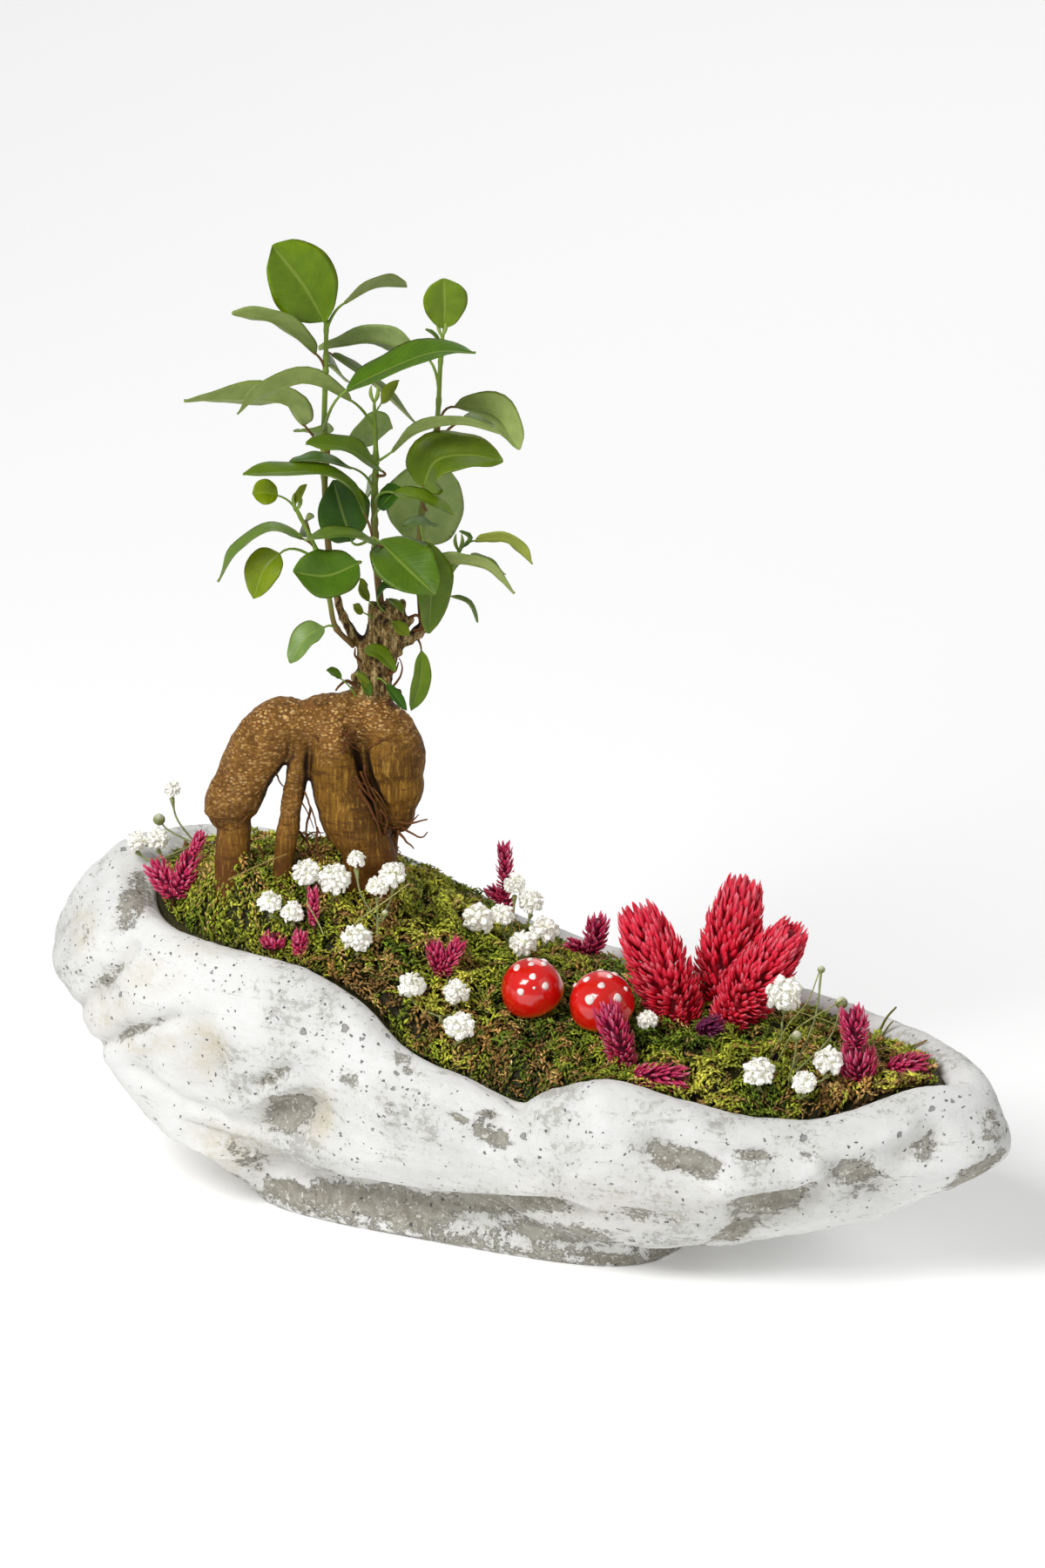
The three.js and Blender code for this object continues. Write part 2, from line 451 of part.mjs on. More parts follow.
// A head of florets: staggered points round an axis, each diamond between them drawn out to a tip.
// radiusAt gives the share of the radius at each row, reach the length of a floret.
function tuftedHead({ from, to, radius, columns, rows, radiusAt, reach, lift, seed, blunt = 0 }) {
  const random = seededRandom(seed);
  const start = vector(from);
  const axis = vector(to).sub(start);
  const up = axis.clone().normalize();
  const side = new THREE.Vector3(0.8, 0.1, -0.59).cross(up).normalize();
  const other = new THREE.Vector3().crossVectors(up, side);
  const points = [];
  const faces = [];
  const outwards = (angle) => side.clone().multiplyScalar(Math.cos(angle))
    .addScaledVector(other, Math.sin(angle));
  const angleAt = (row, column) => (2 * Math.PI * (column + (row % 2) / 2)) / columns;
  const at = (row, column) => row * columns + ((column + columns) % columns);
  for (let row = 0; row <= rows; row += 1) {
    const share = row / rows;
    for (let column = 0; column < columns; column += 1) {
      const size = radius * radiusAt(share) - reach * 0.5;
      points.push(start.clone().addScaledVector(axis, mix(0.06, 0.94, share))
        .addScaledVector(outwards(angleAt(row, column)), Math.max(size, radius * 0.18)));
    }
  }
  const below = (row, column) => (row % 2 ? at(row + 1, column + 1) : at(row + 1, column));
  for (let row = 0; row < rows - 1; row += 1) {
    for (let column = 0; column < columns; column += 1) {
      const bottom = at(row, column);
      const right = below(row, column);
      const left = row % 2 ? at(row + 1, column) : at(row + 1, column - 1);
      const top = at(row + 2, column);
      const middle = points[bottom].clone().add(points[top]).add(points[left]).add(points[right])
        .multiplyScalar(0.25);
      const length = reach * mix(0.75, 1.25, random());
      const angle = angleAt(row, column) + mix(-0.12, 0.12, random());
      const tip = middle.addScaledVector(outwards(angle), length)
        .addScaledVector(up, lift * reach * mix(0.6, 1.4, random()));
      if (blunt > 0) {
        const across = new THREE.Vector3().crossVectors(up, outwards(angle)).multiplyScalar(blunt * radius);
        points.push(tip.clone().add(across), tip.clone().sub(across));
        const rightTip = points.length - 2;
        const leftTip = points.length - 1;
        faces.push([bottom, rightTip, leftTip], [bottom, right, rightTip], [right, top, rightTip],
          [top, leftTip, rightTip], [top, left, leftTip], [left, bottom, leftTip]);
      } else {
        points.push(tip);
        const peak = points.length - 1;
        faces.push([bottom, right, peak], [right, top, peak], [top, left, peak], [left, bottom, peak]);
      }
    }
  }
  points.push(start.clone(), start.clone().addScaledVector(axis, 1));
  const startPole = points.length - 2;
  const endPole = points.length - 1;
  for (let column = 0; column < columns; column += 1) {
    faces.push([at(0, column), at(0, column + 1), at(1, column)]);
    faces.push([startPole, at(0, column + 1), at(0, column)]);
    const right = below(rows - 1, column);
    const left = rows % 2 ? at(rows, column - 1) : at(rows, column);
    faces.push([at(rows - 1, column), right, left]);
    faces.push([endPole, at(rows, column), at(rows, column + 1)]);
  }
  return bodyOf(points, faces);
}

// Planter, soil and moss share their way round: the stations' curve
const stationCurve = (column) => new THREE.CatmullRomCurve3(
  stations.map((s) => vector(column(s))), true, 'centripetal');
const outerCurve = stationCurve(([outer, , crest]) => [...outer, crest]);
const innerCurve = stationCurve(([, inner, , ledge]) => [...inner, ledge]);

const turns = Array.from({ length: aroundSteps }, (_, i) => {
  const t = i / aroundSteps;
  const outer = outerCurve.getPoint(t);
  const inner = innerCurve.getPoint(t);
  const crest = outer.z;
  const ledge = inner.z;
  outer.z = 0;
  inner.z = 0;
  const tangent = outerCurve.getTangent(t);
  const outwards = new THREE.Vector3(tangent.y, -tangent.x, 0).normalize();
  const angle = Math.atan2(outer.y / 66, (outer.x - 15) / 180);
  const squared = (v) => Math.sign(v) * Math.sqrt(Math.abs(v));
  const foot = new THREE.Vector3(footCentreX + footHalfLength * squared(Math.cos(angle)),
    footHalfDepth * squared(Math.sin(angle)), 0);
  const endness = Math.min(1, Math.abs(outer.x - 8) / 185);
  const floor = Math.max(bowlFloor - 1, mix(ledge, crest * 0.72, 0.55 * endness ** 3) + wallFloor);
  const leftness = THREE.MathUtils.smoothstep(-outer.x, 90, 150);
  return { outer, inner, outwards, crest, ledge, foot, endness, leftness, floor };
});

// How far the dents push the wall in at a point
function dentDepth(x, y, z) {
  return dents.reduce((sum, [dx, side, dz, depth, length, height]) => {
    if (Math.sign(y) !== side) return sum;
    return sum + depth * Math.exp(-(((x - dx) / length) ** 2) - ((z - dz) / height) ** 2);
  }, 0);
}

function makePlanter() {
  const lift = (point, z) => new THREE.Vector3(point.x, point.y, z);
  const wall = (turn, share) => {
    const ledgePoint = turn.foot.clone()
      .addScaledVector(turn.outwards, mix(9, 3, turn.endness) + footFlare * turn.leftness);
    const outerZ = turn.crest * mix(0.72, 0.66, turn.endness);
    const point = ledgePoint.lerp(turn.outer, share ** mix(0.6, 0.95, turn.endness));
    point.z = mix(turn.ledge, outerZ, share ** mix(0.9, 2.1, turn.endness));
    return point.addScaledVector(turn.outwards, -dentDepth(point.x, point.y, point.z));
  };
  const rimPoint = (turn, share, drop) => lift(turn.outer.clone().lerp(turn.inner, share), turn.crest - drop);
  const rows = [
    (turn) => lift(turn.foot, 0),
    (turn) => lift(turn.foot.clone().addScaledVector(turn.outwards, mix(1.5, footFlare, turn.leftness)),
      Math.min(footHeight, turn.ledge - 4)),
    (turn) => wall(turn, 0),
    (turn) => wall(turn, 0.3),
    (turn) => wall(turn, 0.62),
    (turn) => wall(turn, 0.86),
    (turn) => wall(turn, 1),
    (turn) => rimPoint(turn, 0.1, mix(8, 11, turn.endness) + leftDropOutside * turn.leftness),
    (turn) => rimPoint(turn, 0.3, 2 + leftDropTop * turn.leftness),
    (turn) => rimPoint(turn, 0.58, 0),
    (turn) => rimPoint(turn, 0.86, 1.6),
    (turn) => rimPoint(turn, 1, 5),
    (turn) => lift(turn.inner, turn.floor),
  ];
  const rings = rows.map((row) => turns.map(row));
  return skin(rings, new THREE.Vector3(footCentreX, 0, 0), new THREE.Vector3(...bowlMiddle, bowlFloor));
}

function moundHeight(x, y) {
  const spot = new THREE.Vector2(x, y).rotateAround(new THREE.Vector2(), -plantTurn);
  return mounds.reduce((total, { across, away, length, depth, height }) => {
    const spread = ((spot.x - across) / length) ** 2 + ((spot.y - away) / depth) ** 2;
    return total + height * Math.exp(-spread);
  }, 0);
}

// The moss's height before its bumps
function mossCrown(x, y) {
  const edge = along(mossEdgeLine, x);
  const share = 1 - Math.min(1, (y / mossHalfWidth) ** 2);
  return mix(edge, along(mossCrownLine, x), share) + moundHeight(x, y);
}

function mossBumps(x, y) {
  return mossBump * (0.5 * Math.sin(x * 0.31 + 2 * Math.sin(y * 0.17))
    + 0.5 * Math.sin(y * 0.37 + x * 0.13) * Math.cos(x * 0.23 - y * 0.11));
}

const mossCentre = new THREE.Vector3(...bowlMiddle, 0);
const middleCrown = mossCrown(...bowlMiddle);

// A point of the moss's top or underside: share is 0 at the centre and 1 at the edge
function mossPoint(turn, share, below) {
  const edge = turn.inner.clone().addScaledVector(turn.outwards, -edgeAir);
  const point = mossCentre.clone().lerp(edge, share);
  const edgeBlend = THREE.MathUtils.smoothstep(share, 0.84, 1);
  const crown = mossCrown(point.x, point.y) + (below ? 0 : mossBumps(point.x, point.y) * (1 - edgeBlend));
  point.z = mix(crown, turn.crest - mossBelowRim, edgeBlend) - below;
  return point;
}

function makeMoss() {
  const shares = [0.2, 0.42, 0.62, 0.79, 0.91, 1];
  const under = [0.34, 0.68, 0.87, 1];
  const rings = [...under.map((share) => turns.map((turn) => mossPoint(turn, share, mossDepth))),
    ...shares.reverse().map((share) => turns.map((turn) => mossPoint(turn, share, 0)))];
  const pole = (below) => new THREE.Vector3(...bowlMiddle, middleCrown - below);
  return skin(rings, pole(mossDepth), pole(0));
}

function makeSoil() {
  const inset = (turn) => turn.inner.clone().addScaledVector(turn.outwards, -edgeAir);
  const bottom = turns.map((turn) => inset(turn).setZ(turn.floor + soilAir));
  const shares = [1, 0.87, 0.68, 0.34];
  const top = shares.map((share) => turns.map((turn) => mossPoint(turn, share, mossDepth + gap)));
  return skin([bottom, ...top], new THREE.Vector3(...bowlMiddle, bowlFloor + soilAir),
    new THREE.Vector3(...bowlMiddle, middleCrown - mossDepth - gap), () => true);
}

// Height of the moss under a point of the planting
function mossUnder([across, away]) {
  const point = new THREE.Vector3(across, away, 0).applyAxisAngle(new THREE.Vector3(0, 0, 1), plantTurn);
  return mossCrown(point.x, point.y);
}

function makeShoot({ stem, radii, leaves }) {
  return joined([sweep(stem, radii, 5), ...leaves.map(leafBody)]);
}

function makeWhiteHead([across, away, up, radius], seed) {
  const round = (share) => Math.sin(Math.PI * mix(0.2, 0.86, share)) ** 0.6;
  return tuftedHead({ from: [across, away, up - radius * 0.8], to: [across, away, up + radius * 0.75],
    radius, columns: radius > 4.6 ? 6 : 5, rows: 3, radiusAt: round, reach: radius * 0.42, lift: 0.45, seed,
    blunt: 0.17 });
}

// Stems of a spray as [path, radii]: the root stem, then one to each flower and each bud
function sprayStems({ root, fork, carries, buds }) {
  const rootZ = mossUnder(root) - mossDepth * 0.7;
  const stems = [[[[...root, rootZ], fork], [stemRadius, stemRadius]]];
  const branch = (across, away, up, endRadius) => {
    const below = Math.min(up - 2.4, mix(fork[2], up, 0.5));
    const bend = [mix(fork[0], across, 0.8), mix(fork[1], away, 0.8), below];
    stems.push([[[fork[0], fork[1], fork[2] - 0.5], bend, [across, away, up]],
      [stemRadius, stemRadius, endRadius]]);
  };
  for (const [across, away, up, radius] of carries.flatMap((name) => whiteHeads[name])) {
    branch(across, away, up - radius * 0.8 - headAir, calyxRadius);
  }
  for (const [across, away, up] of buds) branch(across, away, up, stemRadius);
  return stems;
}

function makeSpray(spray) {
  const stems = sprayStems(spray).map(([path, radii]) => sweep(path, radii, 3, { cap: 0.2 }));
  const buds = spray.buds.map(([across, away, up, radius]) => new THREE.SphereGeometry(radius, 5, 4)
    .scale(0.85, 0.85, 1.15).translate(across, away, up));
  return joined([...stems, ...buds]);
}

const rootOf = (from) => [from, [from[0], from[1], mossUnder(from) - mossDepth * 0.6]];

function makeSprig(branches, seed) {
  const heads = branches.map(([from, to, radius], i) => {
    const length = vector(to).distanceTo(vector(from));
    return tuftedHead({ from, to, radius, columns: 5, rows: Math.max(4, Math.round(length / 3.8)),
      radiusAt: (share) => 0.62 + 0.5 * Math.sin(Math.PI * mix(0.12, 0.9, share)), reach: radius * 0.5,
      lift: 0.5, seed: seed + i * 31 });
  });
  const root = rootOf(branches[0][0]);
  const inHead = vector(root[0]).lerp(vector(branches[0][1]), 0.4).toArray();
  return joined([sweep([inHead, ...root], [sprigRadius, sprigRadius, sprigRadius * 0.8], 4), ...heads]);
}

function makeSpike({ from, to, radius }, seed) {
  const spikeShape = (share) => 0.5 + 0.55 * Math.sin(Math.PI * mix(0.18, 0.92, share)) ** 0.8;
  const head = tuftedHead({ from, to, radius, columns: 8, rows: 10, radiusAt: spikeShape,
    reach: radius * 0.28, lift: 1, seed });
  const root = rootOf(from);
  const inHead = vector(from).lerp(vector(to), 0.2).toArray();
  return joined([head, sweep([inHead, ...root], [spikeRadius, spikeRadius * 0.93, spikeRadius * 0.7], 5)]);
}

// A mushroom's cap: a tall dome with a hollow underside, and raised round dots
function makeCap({ foot, under, radius, height, stalk }) {
  const dome = [[0, hollowHeight], [stalk + gap * 2, hollowHeight], [stalk + 1, 0.4], [radius * 0.8, -0.6],
    [radius * 0.97, 1.2],
    [radius, height * 0.3], [radius * 0.9, height * 0.58], [radius * 0.62, height * 0.86],
    [radius * 0.3, height * 0.97], [0, height]];
  const profile = dome.map(([r, z]) => new THREE.Vector2(r, z));
  const body = new THREE.LatheGeometry(profile, 12).rotateX(Math.PI / 2);
  const upwards = new THREE.Vector3(0, 0, 1);
  const waist = height * 0.36;
  const dots = capDots.map(([out, around, size]) => {
    const way = new THREE.Vector3().setFromSphericalCoords(1, out * brimAngle, 2 * Math.PI * around);
    way.set(way.z, way.x, way.y);
    const dot = new THREE.CylinderGeometry(size * 0.55, size, dotHeight, 5).rotateX(Math.PI / 2);
    dot.applyQuaternion(new THREE.Quaternion().setFromUnitVectors(upwards, way));
    const spot = way.multiply(new THREE.Vector3(radius * 0.97, radius * 0.97, (height - waist) * 0.98));
    return dot.translate(spot.x, spot.y, spot.z + waist);
  });
  const stalkWay = vector(under).sub(vector(foot)).normalize();
  const tilt = new THREE.Quaternion().setFromUnitVectors(upwards, stalkWay);
  return [body, ...dots].map((g) => g.applyQuaternion(tilt).translate(...under));
}

function stalkPath({ foot, under }) {
  const way = vector(under).sub(vector(foot)).normalize();
  const top = vector(under).addScaledVector(way, hollowHeight - gap);
  return [foot, vector(foot).lerp(top, 0.5).toArray(), top.toArray()];
}

function makeStalk(mushroom, more = 0) {
  const { stalk } = mushroom;
  return sweep(stalkPath(mushroom), [stalk * 0.8, stalk * 0.95, stalk], 10, { more, cap: 0 });
}

// Materials
const finish = (color, roughness) => new THREE.MeshStandardMaterial({ color, roughness, metalness: 0 });
const castStone = finish(0xeeeeea, 0.9);
const darkSoil = finish(0x3a2a1c, 1);
const mossGreen = finish(0x5d7424, 1);
const bark = finish(0x8a6234, 0.7);
const leafGreen = finish(0x50781e, 0.45);
const petalWhite = finish(0xf6f5ea, 0.8);
const stemGreen = finish(0x8a9a4a, 0.7);
const driedMagenta = finish(0xb03466, 0.9);
const driedRed = finish(0xd83a5a, 0.9);
const capRed = finish(0xe0140f, 0.15);
const stalkCream = finish(0xeae4d0, 0.5);

// Assembly
const bonsai = new THREE.Group();
const planting = new THREE.Group();
planting.rotation.z = plantTurn;
bonsai.add(planting);

function place(group, name, geometry, material) {
  const mesh = new THREE.Mesh(geometry, material);
  mesh.name = name;
  group.add(mesh);
}

place(bonsai, 'planter', makePlanter(), castStone);

// Trunk, with a plain hole for the foot of each shoot
const tuber = new THREE.SphereGeometry(1, 12, 8).scale(...tuberShoulder.size)
  .translate(...tuberShoulder.centre);
let trunk = joined([tuber, ...limbs.map(({ path, radii, sides }) => sweep(path, radii, sides)),
  ...trunkLeaves.map(leafBody)]);
for (const { stem, radii } of Object.values(shoots)) {
  trunk = trunk.subtract(toSolid(sweep(stem, radii, 5, { more: gap })));
}
place(planting, 'ficus_trunk', toGeometry(trunk), bark);
for (const [name, shoot] of Object.entries(shoots)) {
  place(planting, name, toGeometry(makeShoot(shoot)), leafGreen);
}

// What stands in the moss, and the room each takes there
const rootHoles = limbs.filter(({ path }) => path.at(-1)[2] < rootsBelow)
  .map(({ path, radii, sides }) => sweep(path, radii, sides, { more: gap }));
const mossCuts = [...rootHoles];
Object.entries(whiteHeads).forEach(([name, heads], i) => {
  const flowers = heads.map((head, k) => makeWhiteHead(head, 101 + i * 17 + k * 5));
  place(planting, name, toGeometry(joined(flowers)), petalWhite);
});
for (const [name, spray] of Object.entries(sprays)) {
  place(planting, name, toGeometry(makeSpray(spray)), stemGreen);
  const air = { more: stemHoleAir, cap: 0.2 };
  mossCuts.push(...sprayStems(spray).map(([path, radii]) => sweep(path, radii, 3, air)));
}
Object.entries(magentaSprigs).forEach(([name, branches], i) => {
  place(planting, name, toGeometry(makeSprig(branches, 501 + i * 23)), driedMagenta);
  const [from, to, radius] = branches[0];
  mossCuts.push(sweep(rootOf(from), [sprigRadius, sprigRadius], 4, { more: gap }));
  if (lyingSprigs.includes(name)) {
    mossCuts.push(sweep([from, to], [radius * 1.35, radius * 1.35], 6, { more: gap, cap: 0.1 }));
  }
});
Object.entries(spikeHeads).forEach(([name, spike], i) => {
  place(planting, name, toGeometry(makeSpike(spike, 907 + i * 41)), driedRed);
  mossCuts.push(sweep(rootOf(spike.from), [spikeRadius, spikeRadius * 0.9], 5, { more: stemHoleAir }));
});
for (const [name, mushroom] of Object.entries(mushrooms)) {
  const cap = joined(makeCap(mushroom));
  place(planting, `${name}_cap`, toGeometry(cap), capRed);
  place(planting, `${name}_stalk`, makeStalk(mushroom), stalkCream);
  mossCuts.push(makeStalk(mushroom, gap));
}

// What is left in one piece once all the cuts are made
function carved(geometry, cuts) {
  const rest = cuts.reduce((solid, cut) => solid.subtract(toSolid(turned(cut))), toSolid(geometry));
  const pieces = rest.decompose();
  return toGeometry(pieces.reduce((large, piece) => (piece.volume() > large.volume() ? piece : large)));
}

place(bonsai, 'moss_bed', carved(makeMoss(), mossCuts), mossGreen);

place(bonsai, 'soil', carved(makeSoil(), rootHoles), darkSoil);

export default bonsai;
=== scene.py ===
from math import acos, atan2, cos, log, pi, radians, sin, sqrt

import bpy
import numpy as np
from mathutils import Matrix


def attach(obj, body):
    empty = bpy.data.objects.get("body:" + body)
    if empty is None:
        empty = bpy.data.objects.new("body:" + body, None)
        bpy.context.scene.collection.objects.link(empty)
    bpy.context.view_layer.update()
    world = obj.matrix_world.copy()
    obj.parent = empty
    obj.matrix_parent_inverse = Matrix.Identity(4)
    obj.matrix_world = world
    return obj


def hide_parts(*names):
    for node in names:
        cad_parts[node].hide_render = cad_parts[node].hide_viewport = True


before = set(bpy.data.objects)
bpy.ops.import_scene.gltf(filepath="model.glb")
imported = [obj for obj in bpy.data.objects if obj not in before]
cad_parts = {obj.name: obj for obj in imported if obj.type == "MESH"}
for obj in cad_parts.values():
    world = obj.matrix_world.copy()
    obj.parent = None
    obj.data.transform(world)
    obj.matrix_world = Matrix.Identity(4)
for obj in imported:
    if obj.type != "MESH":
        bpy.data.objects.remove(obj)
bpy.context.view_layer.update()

# The planting is laid out across, away and up as seen from the front, turned by this angle on the planter.
# Places on the front are given as [right, down] in steps of viewStep, as they show in the front view.
layout = {
    "turn": radians(25),
    "viewTilt": radians(22),
    "viewStep": 0.3,              # mm
    "viewZero": (557, 1375),      # steps right and down of the origin
    "lens": 800,                  # mm, as the camera's distance and the place it looks at
    "distance": 12000,
    "target": (11.7, 5.45, 153.7),
}
tiltCos = cos(layout["viewTilt"])
tiltSin = sin(layout["viewTilt"])
goldenAngle = 2.39996


# Small tools

def unit(v):
    return v / np.maximum(np.linalg.norm(v, axis=-1, keepdims=True), 1e-9)


def smooth(low, high, v):
    t = np.clip((v - low) / (high - low), 0, 1)
    return t * t * (3 - 2 * t)


def mixed(a, b, share):
    return a + (b - a) * share


# Points turned about the upright: x cos - y sin, x sin + y cos
def turned(points, angle):
    c = cos(angle)
    s = sin(angle)
    p = np.asarray(points, float)
    return np.stack([p[..., 0] * c - p[..., 1] * s, p[..., 0] * s + p[..., 1] * c, p[..., 2]], -1)


# From planting coordinates into the planter's own frame, and back
def toRow(points):
    return turned(points, layout["turn"])


def toPlanting(points):
    return turned(points, -layout["turn"])


# Where points show in the front view: across gives the steps right, height and depth together the steps down
def seenFromFront(points):
    p = toPlanting(points)
    step = layout["viewStep"]
    right = layout["viewZero"][0] + p[..., 0] / step
    return right, layout["viewZero"][1] - (p[..., 2] * tiltCos + p[..., 1] * tiltSin) / step


# Place in the planting from steps right and down in the front view and mm away
def seenPlace(right, down, away):
    rise = (layout["viewZero"][1] - down) * layout["viewStep"]
    across = (right - layout["viewZero"][0]) * layout["viewStep"]
    return np.array([across, away, (rise - away * tiltSin) / tiltCos])


# A colour given as it shows on screen, 0 to 255, turned into light values
def tint(red, green, blue):
    v = np.array([red, green, blue]) / 255
    return np.where(v <= 0.04045, v / 12.92, ((v + 0.055) / 1.055) ** 2.4)


def paintOf(shown):
    return (*tint(*shown), 1)


# Values at the eight corners of each point's lattice cell, blended by where it lies in the cell
def cornerBlend(base, t, valueAt):
    total = 0
    for corner in range(8):
        offset = np.array([corner & 1, corner >> 1 & 1, corner >> 2 & 1])
        total = total + np.prod(np.where(offset, t, 1 - t), axis=-1) * valueAt(base + offset)
    return total


# Value noise from -1 to 1: hashed values on a cubic lattice of the given cell, blended smoothly
def cloud(points, cell, seed):
    p = np.asarray(points, float) / cell
    base = np.floor(p).astype(np.int64)

    def hashed(k):
        v = (k[..., 0] * 73856093) ^ (k[..., 1] * 19349663) ^ (k[..., 2] * 83492791) ^ (seed * 2654435761)
        return (v ^ (v >> 13)) * 1274126177 & 0xFFFFFF

    return cornerBlend(base, smooth(0, 1, p - base), hashed) / 0xFFFFFF * 2 - 1


# Smooth curve through points: each span is a cubic whose slopes follow its neighbours' spacing
def curveThrough(points, t, closed=False):
    p = np.asarray(points, float)
    n = len(p)
    spans = n if closed else n - 1
    s = np.clip(np.asarray(t, float), 0, 1) * spans
    i = np.minimum(np.floor(s).astype(int), spans - 1)
    f = (s - i).reshape(s.shape + (1,) * (p.ndim - 1))
    if closed:
        q = [p[(i + k) % n] for k in (-1, 0, 1, 2)]
    else:
        padded = np.concatenate([[2 * p[0] - p[1]], p, [2 * p[-1] - p[-2]]])
        q = [padded[i + k] for k in (0, 1, 2, 3)]
    d = [np.maximum(np.linalg.norm(q[k + 1] - q[k], axis=-1, keepdims=True), 1e-6) ** 0.5 for k in range(3)]
    slope1 = ((q[1] - q[0]) / d[0] - (q[2] - q[0]) / (d[0] + d[1]) + (q[2] - q[1]) / d[1]) * d[1]
    slope2 = ((q[2] - q[1]) / d[1] - (q[3] - q[1]) / (d[1] + d[2]) + (q[3] - q[2]) / d[2]) * d[1]
    f2 = f * f
    f3 = f2 * f
    ends = q[1] * (2 * f3 - 3 * f2 + 1) + q[2] * (3 * f2 - 2 * f3)
    return ends + slope1 * (f3 - 2 * f2 + f) + slope2 * (f3 - f2)


# Faces of a skin of rings: quads from each ring to the next, fans to a start pole and an end pole
def ringFaces(rows, columns):
    i, k = np.meshgrid(np.arange(rows - 1), np.arange(columns), indexing="ij")
    following = (k + 1) % columns
    quads = np.stack([i * columns + k, i * columns + following,
                      (i + 1) * columns + following, (i + 1) * columns + k], -1).reshape(-1, 4)
    a = np.arange(columns)
    b = (a + 1) % columns
    start = np.full(columns, rows * columns)
    last = (rows - 1) * columns
    tris = np.concatenate([np.stack([b, a, start], -1), np.stack([last + a, last + b, start + 1], -1)])
    return quads, tris


# Many closed skins of one layout gathered for one mesh, with a colour and values for every point
class Bundle:
    def __init__(self):
        self.points = []
        self.quads = []
        self.tris = []
        self.data = {}
        self.count = 0

    # rings is [copies, rows, columns, 3], poles are [copies, 3]; data is per copy and ring point
    def addSkins(self, rings, startPole, endPole, **data):
        rings = np.asarray(rings, float)
        copies, rows, columns = rings.shape[:3]
        quads, tris = ringFaces(rows, columns)
        stride = rows * columns + 2
        flat = np.concatenate([rings.reshape(copies, -1, 3), np.asarray(startPole)[:, None],
                               np.asarray(endPole)[:, None]], 1)
        offset = self.count + np.arange(copies)[:, None, None] * stride
        self.points.append(flat.reshape(-1, 3))
        self.quads.append((quads[None] + offset).reshape(-1, 4))
        self.tris.append((tris[None] + offset).reshape(-1, 3))
        for name, values in data.items():
            v = np.asarray(values, float)
            v = v[None, None, None] if v.ndim == 1 else v
            width = v.shape[3:]
            v = np.broadcast_to(v, (copies, rows, columns) + width)
            ends = np.stack([v[:, 0].mean(1), v[:, -1].mean(1)], 1)
            v = np.concatenate([v.reshape((copies, -1) + width), ends], 1)
            self.data.setdefault(name, []).append(v.reshape((-1,) + width))
        self.count += copies * stride

    # one skin, without the first index
    def addSkin(self, rings, startPole, endPole, **data):
        self.addSkins(rings[None], [startPole], [endPole], **{name: np.asarray(v)[None] if np.ndim(v) > 1 else v
                                                              for name, v in data.items()})

    def addMesh(self, points, quads, **data):
        self.points.append(points)
        self.quads.append(quads + self.count)
        self.tris.append(np.zeros((0, 3), int))
        for name, values in data.items():
            self.data.setdefault(name, []).append(values)
        self.count += len(points)

    def triangles(self):
        return sum(len(q) * 2 for q in self.quads) + sum(len(t) for t in self.tris)


# Puts a bundle into a mesh object in metres; data named uv becomes a UV map, colours and values attributes
def makePiece(name, bundle, material, nodes=(), inRow=False):
    points = np.concatenate(bundle.points)
    points = (points if inRow else toRow(points)) * 0.001
    quads = np.concatenate(bundle.quads)
    tris = np.concatenate(bundle.tris)
    corners = np.concatenate([quads.ravel(), tris.ravel()])
    starts = np.concatenate([np.arange(len(quads)) * 4, len(quads) * 4 + np.arange(len(tris)) * 3])

    def fill(layer, key, values, kind=np.float32):
        layer.foreach_set(key, values.astype(kind).ravel())

    mesh = bpy.data.meshes.new(name)
    mesh.vertices.add(len(points))
    mesh.loops.add(len(corners))
    mesh.polygons.add(len(starts))
    fill(mesh.vertices, "co", points)
    fill(mesh.loops, "vertex_index", corners, np.int32)
    fill(mesh.polygons, "loop_start", starts, np.int32)
    fill(mesh.polygons, "use_smooth", np.ones(len(starts)), bool)
    mesh.update(calc_edges=True)
    for key, parts in bundle.data.items():
        values = np.concatenate(parts)
        if key == "uv":
            fill(mesh.uv_layers.new(name="UVMap").data, "uv", values[corners])
        elif values.ndim == 2:
            colours = np.concatenate([values, np.ones((len(values), 1))], 1)
            fill(mesh.attributes.new(key, "FLOAT_COLOR", "POINT").data, "color", colours)
        else:
            fill(mesh.attributes.new(key, "FLOAT", "POINT").data, "value", values)
    piece = bpy.data.objects.new(name, mesh)
    bpy.context.scene.collection.objects.link(piece)
    mesh.materials.append(material)
    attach(piece, "root")
    if nodes:
        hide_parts(*nodes)
    print(f"{name}: {bundle.triangles()} triangles")


# Rings of a round tube of changing radius: circle points at each point of a line; also the line's directions
def tubeRings(line, radii, columns):
    tangent = unit(np.gradient(line, axis=0))
    side = unit(np.cross([0.31, 0.9, 0.29], tangent))
    other = np.cross(tangent, side)
    angle = np.arange(columns)[:, None] * 2 * pi / columns
    circle = np.cos(angle) * side[:, None] + np.sin(angle) * other[:, None]
    return line[:, None] + radii[:, None, None] * circle, tangent


# A closed tube, its poles half a radius past its ends
def addTube(bundle, line, radii, columns, **data):
    rings, tangent = tubeRings(line, radii, columns)
    start = line[0] - tangent[0] * radii[0] * 0.5
    end = line[-1] + tangent[-1] * radii[-1] * 0.5
    bundle.addSkin(rings, start, end, **data)


